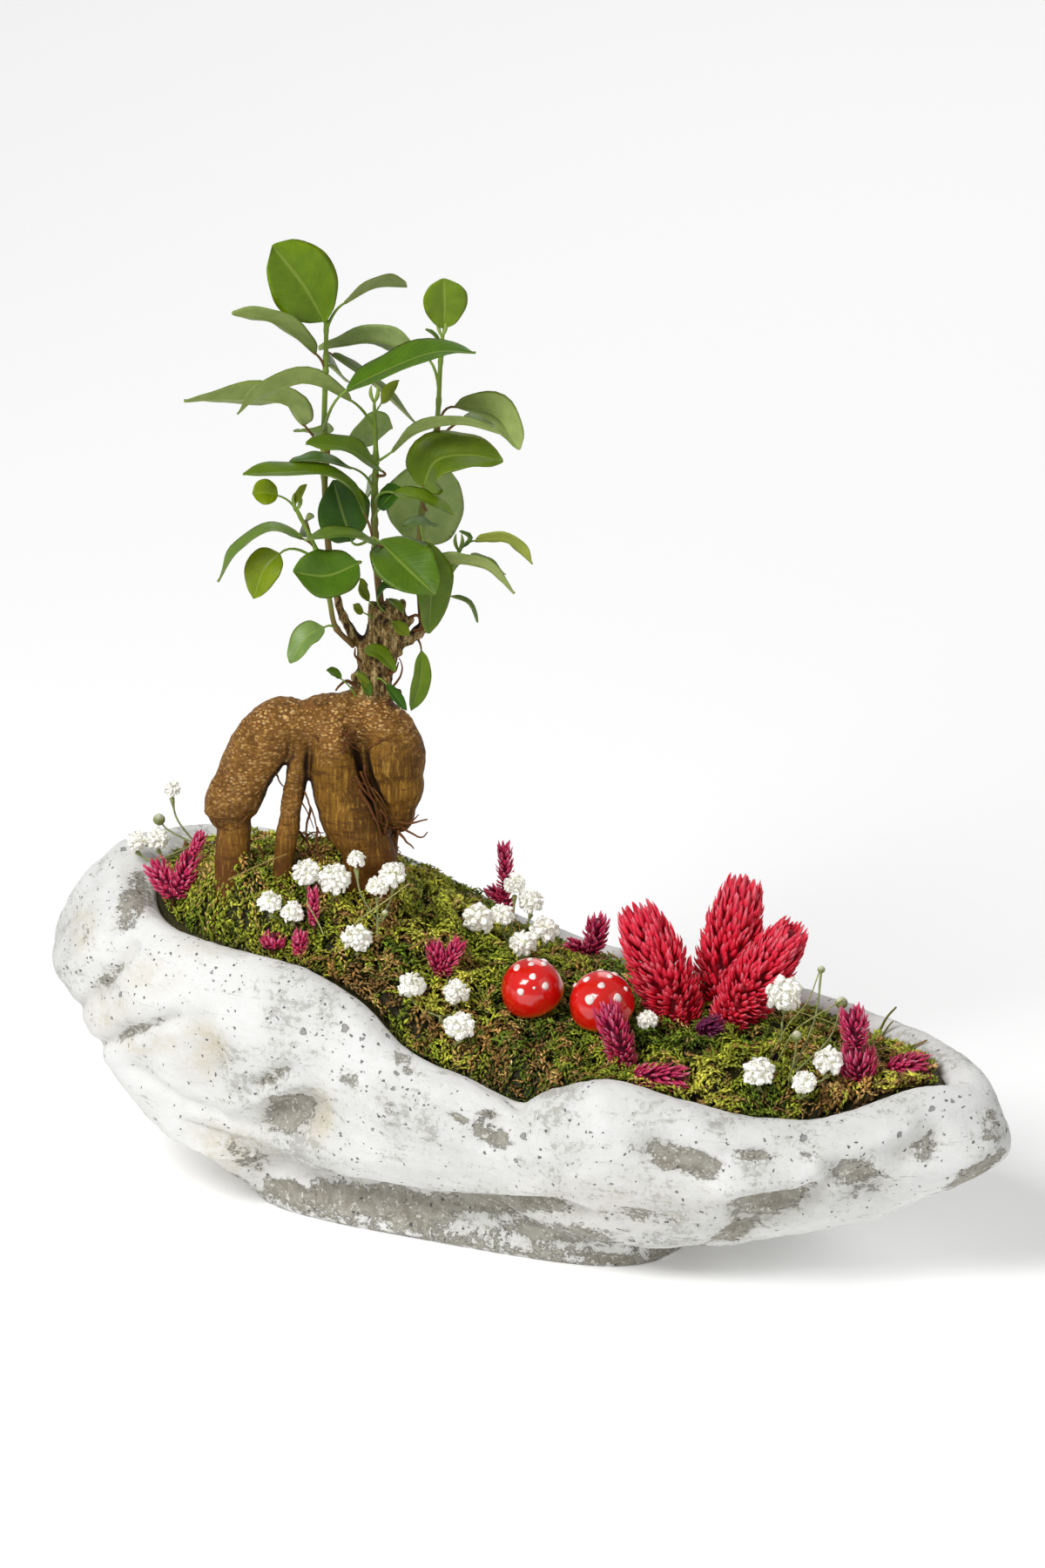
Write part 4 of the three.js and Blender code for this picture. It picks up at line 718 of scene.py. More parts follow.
# Trunk
# The roots and trunk are a field: the distance to each limb's path less its radius there, blended where
# limbs meet. The skin is laid where the field is nought.
trunk = {
    "cell": 0.72,
    "blend": 2.4,                 # how softly limbs run into each other
    "creaseWidth": 1.8,
    "box": ((-102, -10, 88), (-12, 50, 222)),
    "cavityReaches": (2.0, 4.0, 8.0, 13.0),
    "limbs": [
        ([[-45, 12, 174], [-54, 12, 172.6], [-62, 12, 170.6], [-70, 12, 171], [-77, 12, 163.6], [-82.4, 12, 153.6],
          [-85.8, 11, 145.6], [-88.2, 10, 141], [-86.8, 9, 136.4], [-87.2, 7, 122], [-87, 6, 92]],
         [8, 9, 9.3, 9.9, 10, 10, 9.4, 8, 6.1, 5.7, 5.2]),
        ([[-62.6, 8, 168], [-65, 6, 154], [-67.4, 4, 138], [-69.4, 2, 122], [-70.4, 1, 98]],
         [4.2, 3.8, 3.6, 3.6, 3.4]),
        ([[-47, 10, 174], [-51, 8, 164], [-49.2, 7, 150], [-44.2, 5.4, 137.4], [-40.8, 4.6, 128], [-37.6, 4, 121],
          [-36.5, 3, 96]], [8, 8.8, 11, 11, 9.2, 7, 5]),
        ([[-44, 4, 128], [-44.8, 2, 118], [-45, 1, 94]], [4, 3.2, 2.6]),
        ([[-38, 10, 174], [-33.2, 8, 169], [-31.2, 7, 160], [-30.2, 6.6, 150], [-29.4, 6, 142], [-29, 5.6, 136.6]],
         [7, 9.8, 10.4, 8.8, 5.8, 2.8]),
        ([[-52, 18, 170], [-52, 27, 158], [-50, 33, 136], [-49, 38, 112], [-50, 40, 94]],
         [8, 8.4, 6.8, 5, 3.8]),
        ([[-40, 16, 170], [-36, 23, 156], [-34, 28, 134], [-35, 30, 110], [-35, 31, 90]],
         [7, 7.2, 5.4, 4, 3.2]),
        ([[-41, 12, 172], [-39, 12, 183], [-37.2, 12, 195], [-35.2, 12, 204], [-33.6, 12, 211]],
         [9.4, 6.7, 6.1, 5.8, 5.6]),
        ([[-37.6, 12, 198], [-31, 12, 200], [-25, 13, 203], [-21.6, 14, 207]], [2.8, 2.2, 1.9, 1.7]),
        ([[-39.5, 12, 196], [-44.5, 12, 203], [-48.6, 13, 210], [-51, 14, 217]], [2.4, 1.9, 1.7, 1.6]),
        ([[-36.4, 12, 208], [-38.4, 10, 216]], [3.4, 2]), ([[-32, 12, 208], [-28.6, 10.4, 216.4]], [3.2, 1.7]),
        ([[-31, 11, 206], [-25.4, 9, 211]], [2.2, 1.2]),
    ],
    # swellings, knots and cut twigs: place and size
    "knots": [
        [-45, 13, 170, 12], [-36, 7.6, 211, 2.6], [-31, 10, 212, 2.4], [-39.4, 8, 205, 2], [-30.6, 9, 199, 2.4],
        [-43.6, 8.6, 190, 2.6], [-33.6, 7, 190, 2.4], [-48, 10, 181, 3.6], [-23.4, 12.4, 204.6, 2.2],
        [-90.2, 6, 141.4, 6], [-94, 5, 139.6, 3.2], [-84, 3, 140.4, 3], [-52, 5, 173, 5.6], [-29, 9.4, 205, 2.2],
        [-38, 6, 197, 1.8], [-36, 6.4, 183, 2.2], [-43.4, 9, 184, 2.8], [-31, 9, 184, 2.4],
        [-27.5, 10.5, 203.4, 1.9],
    ],
    # creases pressed into the surface and darkened as painted shade, more the deeper they are: [right, down] as
    # seen in front, and depth
    "creases": [
        ([[405, 818], [410, 838], [413, 856], [417, 872], [423, 892], [430, 914], [436, 932], [441, 948]], 5.6),
        ([[398, 828], [403, 842], [411, 856]], 2.2), ([[396, 850], [404, 862], [414, 866]], 1.4),
        ([[234, 942], [246, 945], [262, 947], [277, 944], [288, 940]], 3.2),
        ([[326, 826], [332, 846], [336, 866]], 0.9), ([[350, 838], [354, 856], [354, 878]], 0.7),
        ([[431, 925], [444, 928], [458, 926], [474, 921]], 0.9), ([[368, 909], [392, 906], [419, 907]], 0.6),
        ([[364, 932], [388, 928], [412, 925]], 0.6), ([[378, 962], [406, 958], [433, 955]], 0.7),
        ([[424, 852], [446, 846], [474, 850]], 0.5),
    ],
    # fine roots lying on the surface: [right, down] as seen in front, and radius
    "lyingRoots": [
        ([[362, 844], [368, 853], [380, 859], [404, 861]], 0.5),
        ([[423, 859], [436, 851], [448, 846], [466, 840]], 0.4),
        ([[408, 891], [417, 905], [430, 920], [434, 941]], 0.65),
        ([[414, 886], [424, 909], [433, 927], [439, 946]], 0.55),
        ([[405, 895], [419, 900], [433, 909], [442, 927]], 0.55),
        ([[419, 878], [421, 895], [433, 916], [447, 941]], 0.6),
        ([[412, 905], [425, 928], [433, 944], [437, 961]], 0.75),
        ([[402, 836], [398, 846], [404, 856], [414, 862]], 0.5), ([[392, 838], [402, 846], [413, 846]], 0.4),
        ([[396, 856], [406, 852], [416, 857]], 0.4), ([[436, 930], [444, 942], [441, 954], [447, 962]], 0.6),
        ([[428, 938], [440, 946], [455, 950], [467, 946]], 0.5), ([[440, 950], [452, 956], [458, 948]], 0.5),
        ([[316, 884], [322, 898], [330, 904]], 0.4), ([[283, 936], [276, 945], [268, 951]], 0.5),
        ([[246, 941], [252, 950], [262, 952]], 0.5),
    ],
    # fine roots and twigs in the air: path and radius
    "rootlets": [
        ([[-31, 2, 139], [-26, -1, 139.5], [-20, -2.6, 141.6]], 0.7),
        ([[-29, 2, 137], [-26, -1, 136], [-21.4, -2.4, 134.8], [-20, -2, 136.8]], 0.5),
        ([[-30, 1, 136], [-27.5, -1.6, 133.6], [-24.6, -2.6, 130.6]], 0.6),
        ([[-26, -1, 139.3], [-22.8, -2, 143]], 0.4),
        ([[-33, 8, 186], [-30, 5, 190], [-28.6, 4, 195], [-29.6, 4, 199]], 0.5),
        ([[-66, 5, 150], [-62.4, 3, 144], [-59, 3, 136]], 0.4),
        ([[-62, 3, 150], [-58.6, 2, 139], [-55.6, 2, 131]], 0.4),
        ([[-78, 8, 128], [-76, 7, 121], [-77, 6, 114]], 0.5),
        ([[-58, 4, 136], [-57.6, 2, 127], [-54, 1, 120]], 0.5),
        ([[-44.6, 7, 188], [-48.4, 4, 190], [-51.4, 3, 187]], 0.8),
        ([[-27, 10, 211], [-23, 8, 213], [-22, 7.4, 209], [-25.6, 8, 207]], 0.7),
        ([[-24.6, 11, 206], [-20.6, 9, 208], [-18.6, 8, 212]], 0.6),
        ([[-33.6, 6, 192], [-31, 4, 194], [-30, 3.4, 197.6]], 0.6),
        ([[-42.6, 8, 196], [-45, 6, 199], [-44.6, 5, 202]], 0.6),
        ([[-68, 6, 141], [-66.6, 3, 133], [-62, 2, 126]], 0.4),
        ([[-60, 7, 142], [-61.6, 5, 133], [-58.4, 4, 124]], 0.5),
        ([[-63.6, 8, 128], [-60, 6, 133], [-55.6, 4, 134]], 0.45),
        ([[-64, 10, 132], [-61, 9, 127], [-62.6, 8, 121]], 0.5),
        ([[-57, 9, 130], [-60.6, 8, 124], [-59, 7, 118]], 0.45),
        ([[-66, 10, 126], [-62, 10, 122], [-57, 9, 123]], 0.5),
    ],
}


# Distance from points to a path of round sections of changing radius
def pathDistance(points, path, radii):
    best = np.full(points.shape[:-1], 1e9)
    for a, b, ra, rb in zip(path[:-1], path[1:], radii[:-1], radii[1:]):
        way = b - a
        t = np.clip(((points - a) @ way) / (way @ way), 0, 1)
        best = np.minimum(best, np.linalg.norm(points - a - t[..., None] * way, axis=-1) - ra - (rb - ra) * t)
    return best


# One point in each cell the surface crosses, at the mean of its edge crossings, and a quad on each crossed edge
def fieldSkin(field, low, cell):
    size = np.array(field.shape) - 1
    sums = np.zeros((*size, 3))
    counts = np.zeros(size)
    for axis in range(3):
        a = np.moveaxis(field, axis, 0)[:-1]
        b = np.moveaxis(field, axis, 0)[1:]
        cut = (a < 0) != (b < 0)
        t = np.where(cut, a / np.where(cut, a - b, 1), 0)
        grid = np.stack(np.meshgrid(*[np.arange(n) for n in cut.shape], indexing="ij"), -1).astype(float)
        grid[..., 0] += t
        order = [axis] + [k for k in range(3) if k != axis]
        spots = grid[..., np.argsort(order)]
        cellSums = np.moveaxis(sums, axis, 0)
        cellCounts = np.moveaxis(counts, axis, 0)
        n1, n2 = cut.shape[1] - 1, cut.shape[2] - 1
        for d1 in (0, 1):
            for d2 in (0, 1):
                c = cut[:, d1:d1 + n1, d2:d2 + n2]
                cellCounts += c
                cellSums += spots[:, d1:d1 + n1, d2:d2 + n2] * c[..., None]
    used = counts > 0
    number = np.full(size, -1)
    number[used] = np.arange(used.sum())
    points = sums[used] / counts[used][:, None]
    quads = []
    for axis in range(3):
        f = np.moveaxis(field, axis, 0)
        ids = np.moveaxis(number, axis, 0)
        a = f[:-1, 1:-1, 1:-1] < 0
        cut = a != (f[1:, 1:-1, 1:-1] < 0)
        corners = np.stack([ids[:, :-1, :-1], ids[:, 1:, :-1], ids[:, 1:, 1:], ids[:, :-1, 1:]], -1)
        quad = corners[cut]
        turnRound = a[cut] if axis != 1 else ~a[cut]
        quads.append(np.where(turnRound[:, None], quad, quad[:, ::-1]))
    return low + points * cell, np.concatenate(quads)


# Values on a lattice of places
class Field:
    def __init__(self, low, high, cell, start):
        self.low = np.array(low, float)
        self.cell = cell
        self.size = np.ceil((np.array(high) - self.low) / cell).astype(int)
        self.values = np.full(self.size, start)

    # the part of the lattice within reach of points, and the places there
    def around(self, points, reach):
        first = np.maximum(0, ((points.min(0) - reach - self.low) / self.cell).astype(int))
        last = np.minimum(self.size, ((points.max(0) + reach - self.low) / self.cell).astype(int) + 2)
        part = tuple(slice(a, b) for a, b in zip(first, last))
        axes = [self.low[k] + np.arange(first[k], last[k]) * self.cell for k in range(3)]
        return part, np.stack(np.meshgrid(*axes, indexing="ij"), -1)

    # blends in a form given by its distances
    def join(self, part, distance, blend):
        before = self.values[part]
        h = np.clip(0.5 + 0.5 * (distance - before) / blend, 0, 1)
        self.values[part] = distance + (before - distance) * h - blend * h * (1 - h)

    def sample(self, values, points):
        p = np.clip((points - self.low) / self.cell, 0, self.size - 1.001)
        base = np.floor(p).astype(int)
        return cornerBlend(base, p - base, lambda k: values[tuple(k.T)])


def trunkField():
    field = Field(*trunk["box"], trunk["cell"], 30.0)
    for path, radii in trunk["limbs"]:
        t = np.linspace(0, 1, 6 * len(path))
        line = curveThrough(path, t)
        widths = np.interp(t * (len(path) - 1), np.arange(len(path)), radii)
        widths = widths * (1 + 0.05 * np.sin(t * 23 + path[0][0]))
        part, grid = field.around(line, max(radii) + 8)
        field.join(part, pathDistance(grid, line, widths), trunk["blend"])
    for *middle, radius in trunk["knots"]:
        part, grid = field.around(np.array([middle]), radius + 6)
        distance = np.linalg.norm((grid - middle) / [1, 0.8, 0.75], axis=-1) - radius
        field.join(part, distance * 0.85, 2.0)
    return field


# First places inside the field on the way from the front, for a curve as it shows there, lifted to the front
def onFront(field, whole, seen, count, lift):
    shown = curveThrough(seen, np.linspace(0, 1, count))
    depths = np.linspace(-20, 34, 109)
    rays = np.array([[seenPlace(*spot, depth) for depth in depths] for spot in shown])
    inside = (field.sample(whole, rays.reshape(-1, 3)) < 0).reshape(rays.shape[:2])
    first = np.where(inside.any(1), inside.argmax(1), len(depths) // 2)
    places = rays[np.arange(count), first]
    places[:, 1] = np.convolve(np.pad(places[:, 1], 1, "edge"), [0.25, 0.5, 0.25], "valid")
    return places - np.array([0, lift, 0])


def makeTrunk():
    cell = trunk["cell"]
    field = trunkField()
    whole = field.values.copy()
    creased = np.zeros(field.size)
    for seen, depth in trunk["creases"]:
        line = onFront(field, whole, seen, 20, 0)
        part, grid = field.around(line, 9)
        close = np.exp(-(pathDistance(grid, line, np.zeros(20)) / trunk["creaseWidth"]) ** 2)
        field.values[part] += depth * close
        creased[part] = np.maximum(creased[part], close * min(1, depth / 5))
    points, quads = fieldSkin(field.values, field.low, cell)
    slopes = np.gradient(field.values, cell)
    for _ in range(2):
        normal = unit(np.stack([field.sample(slope, points) for slope in slopes], -1))
        points = points - normal * np.clip(field.sample(field.values, points), -0.5, 0.5)[:, None]
    # a place is hollow where the field stays low on the way out from it; hollows and creases are darkened as
    # painted shade
    cavity = np.zeros(len(points))
    for reach in trunk["cavityReaches"]:
        cavity += np.clip(1.02 - field.sample(field.values, points + normal * reach) / reach, 0, 1) / 2.4
    cavity = 0.85 * cavity + 0.75 * smooth(0.15, 0.8, field.sample(creased, points))
    upper = smooth(181, 189, points[:, 2] + 3 * cloud(points, 5, 4))
    stretched = points * [1, 1, 0.35]
    ridged = cloud(stretched, 2.2, 7) + 0.7 * cloud(stretched, 1.2, 9)
    # the top of the tuber and the left limb's back are grainy and lighter, partly their own pale grains and partly
    # painted light on the sides the light falls on; the lobes drawn in fine lines
    leftLimb = smooth(60, 68, -points[:, 0]) * smooth(128, 150, points[:, 2])
    grainy = np.maximum(smooth(160, 176, points[:, 2] + 8 * cloud(points, 9, 14)), 0.6 * leftLimb)
    grain = cloud(points, 2.3, 11) + 0.7 * cloud(points, 1.4, 15)
    rings = cloud(points * [0.2, 0.2, 1.6], 2.2, 12)
    push = 0.5 * ridged * upper + 0.36 * grain * grainy * (1 - 0.5 * upper)
    push += 0.14 * rings * (1 - upper) + 0.45 * cloud(points, 8, 13)
    points = points + normal * push[:, None]
    bundle = Bundle()
    bundle.addMesh(points, quads, cavity=np.clip(cavity, 0, 1), upper=upper, grainy=grainy,
                   fibre=np.zeros(len(points)))
    t = np.linspace(0, 1, 14)
    roots = [(onFront(field, whole, seen, 14, radius * 0.7), radius) for seen, radius in trunk["lyingRoots"]]
    roots += [(curveThrough(path, t), radius) for path, radius in trunk["rootlets"]]
    for line, radius in roots:
        line = line + 0.35 * np.stack([cloud(line, 2.5, seed) for seed in (31, 32, 33)], -1)
        addTube(bundle, line, radius * (1 - 0.6 * t), 6, cavity=0.1, upper=0, grainy=0, fibre=1)
    makePiece("trunk_and_roots", bundle, bark(), ["ficus_trunk"])


# Smooth tan root bark with pale specks and fine rings, painted shade in its hollows and creases, and fissured bark
# higher up
def bark():
    material, s = newMaterial("bark")
    where = s.place()
    upper = s.attribute("upper")
    cloudy = s.noise(where, 13, 5, 0.6)
    fine = s.noise(where, 1.1, 5, 0.7)
    ringed = s.noise(s.place((0.14, 0.14, 1.0)), 1.3, 5, 0.7, 0.5)
    striped = s.noise(s.place((1.0, 1.0, 0.08)), 1.0, 4, 0.65, 0.3)
    spots = s.noise(where, 2.2, 5, 0.75)
    colour = s.ramp(cloudy, 0.34, 0.66, (88, 56, 10), (132, 92, 24))
    colour = s.layered(colour, (s.remap(striped, 0.5, 0.62), 0.65, (76, 46, 8)),
                       (s.remap(striped, 0.47, 0.36), 0.55, (182, 140, 58)),
                       (s.remap(ringed, 0.52, 0.62), 0.7, (70, 42, 8)),
                       (s.remap(spots, 0.58, 0.7), 0.5, (70, 40, 14)))
    # grains: a random tone in each small cell, dark where cells meet
    cells = s.add("TexVoronoi", {"Vector": s.place((0.8, 0.8, 1.25)), "Scale": 760.0})
    draw = s.add("SeparateColor", {"Color": cells["Color"]})[0]
    middle = s.oneLess(s.remap(cells["Distance"], 0.25, 0.62))
    grains = s.ramp(draw, 0.1, 0.7, (176, 124, 62), (222, 172, 104))
    grains = s.mix(s.remap(draw, 0.7, 0.95), grains, paintOf((226, 186, 124)))
    grains = s.mix(middle, paintOf((126, 84, 36)), grains)
    flaky = s.noise(s.place((0.8, 0.8, 1.5)), 2.4, 8, 0.8, 0.3)
    grains = s.layered(grains, (s.remap(flaky, 0.47, 0.4), 0.85, (84, 54, 20)),
                       (s.remap(flaky, 0.56, 0.64), 0.6, (222, 184, 124)))
    share = s.times(s.attribute("grainy"), s.remap(s.noise(where, 6, 4, 0.6), 0.3, 0.55, 0.45, 1.0))
    colour = s.mix(share, colour, grains)
    # darker and redder low on the roots: partly the roots' own ruddy feet, partly painted shade towards the moss
    height = s.add("SeparateXYZ", {0: where})[2]
    colour = s.layered(colour, (s.oneLess(s.remap(height, 0.108, 0.15)), 0.6, (104, 58, 12)))
    cracked = s.noise(s.place((1.0, 1.0, 0.3)), 1.5, 6, 0.75, 0.2)
    fissured = s.ramp(cracked, 0.4, 0.5, (48, 30, 14), (150, 120, 68))
    fissured = s.mix(s.remap(cracked, 0.51, 0.6), fissured, paintOf((226, 200, 142)))
    colour = s.mix(upper, colour, fissured)
    # fine roots in their own darker brown, then hollows and creases darkened as painted shade
    colour = s.layered(colour, (s.attribute("fibre"), 0.75, (104, 62, 34)),
                       (s.remap(s.attribute("cavity"), 0.34, 1.0), 1.0, (44, 26, 10)))
    relief = s.weighed((ringed, -0.9), (striped, -0.8), (fine, 0.6), (s.times(middle, share), 1.2),
                       (s.times(cracked, upper), 4.0))
    s.finish({"Base Color": colour, "Roughness": s.remap(fine, 0.3, 0.7, 0.5, 0.75),
              "Normal": s.bump(relief, 0.6, 0.95), "Specular IOR Level": 0.2})
    return material


makeTrunk()
print("trunk ready")


# Leaves
# A leaf is a surface of its length (0 at the stalk, 1 at the tip) and its width (-1 to 1): a point on the
# rib, moved sideways by the outline and up by the fold, the cup and a slight wave.
foliage = {
    "thick": 0.42,                # in the blade's middle
    "stalk": 0.5,                 # radius
    # rings and steps to each side of the rib, for leaves wider than 7 mm and for small ones
    "grid": (25, 6),
    "smallGrid": (12, 4),
    # colours of a stem's foot and top, of stalks ruddy and green, and of the bud
    "stemColours": ((112, 86, 44), (118, 142, 52)),
    "stalkColours": ((112, 84, 40), (120, 146, 58)),
    "budColour": (134, 158, 70),
    # colours of the upper side and the underside; the dark and deep tones are darker leaves, darkened further as
    # painted shade where a leaf lies in shadow
    "tones": {
        "mature": ((92, 118, 16), (134, 150, 84)), "bright": ((100, 126, 4), (134, 152, 76)),
        "dark": ((72, 106, 10), (108, 130, 60)), "deep": ((46, 88, 2), (90, 114, 44)),
        "grey": ((98, 122, 46), (136, 154, 86)), "blue": ((78, 112, 22), (114, 136, 66)),
        "young": ((116, 134, 4), (136, 152, 40)), "yellow": ((116, 136, 24), (138, 150, 64)),
        "pale": ((116, 138, 70), (140, 158, 96)),
    },
    "stems": {
        "shoot_left_tall": (
            [[-50, 14, 213], [-53.4, 14, 232], [-55, 14, 256], [-55.2, 14, 282], [-54.6, 14, 304],
             [-54.4, 14, 320]],
            [1.3, 1.3, 1.2, 1.1, 1, 0.8]),
        "shoot_centre": (
            [[-35.5, 12, 211], [-37.4, 12, 232], [-38, 12, 250], [-37.5, 12, 270], [-38, 12, 290]],
            [1.5, 1.4, 1.2, 1.1, 0.6]),
        "shoot_right_tall": (
            [[-21.4, 14.4, 204], [-22.2, 17, 214], [-22.8, 18, 235], [-20.6, 18, 256], [-16.5, 18, 280],
             [-15.4, 18, 300], [-14.7, 18, 312]],
            [1.3, 1.3, 1.2, 1.1, 1, 0.9, 0.7]),
        "shoot_right_low": (
            [[-25.5, 13.2, 201], [-19, 11, 212], [-13.5, 10, 224], [-9, 10, 236]], [1.1, 1, 0.9, 0.6]),
        "shoot_left_low": (
            [[-45.3, 10.2, 200.9], [-51.4, 5, 210], [-53.6, 2, 222], [-57.6, -2, 240], [-64.5, -5, 257]],
            [1.1, 1, 1, 0.9, 0.6]),
    },
}
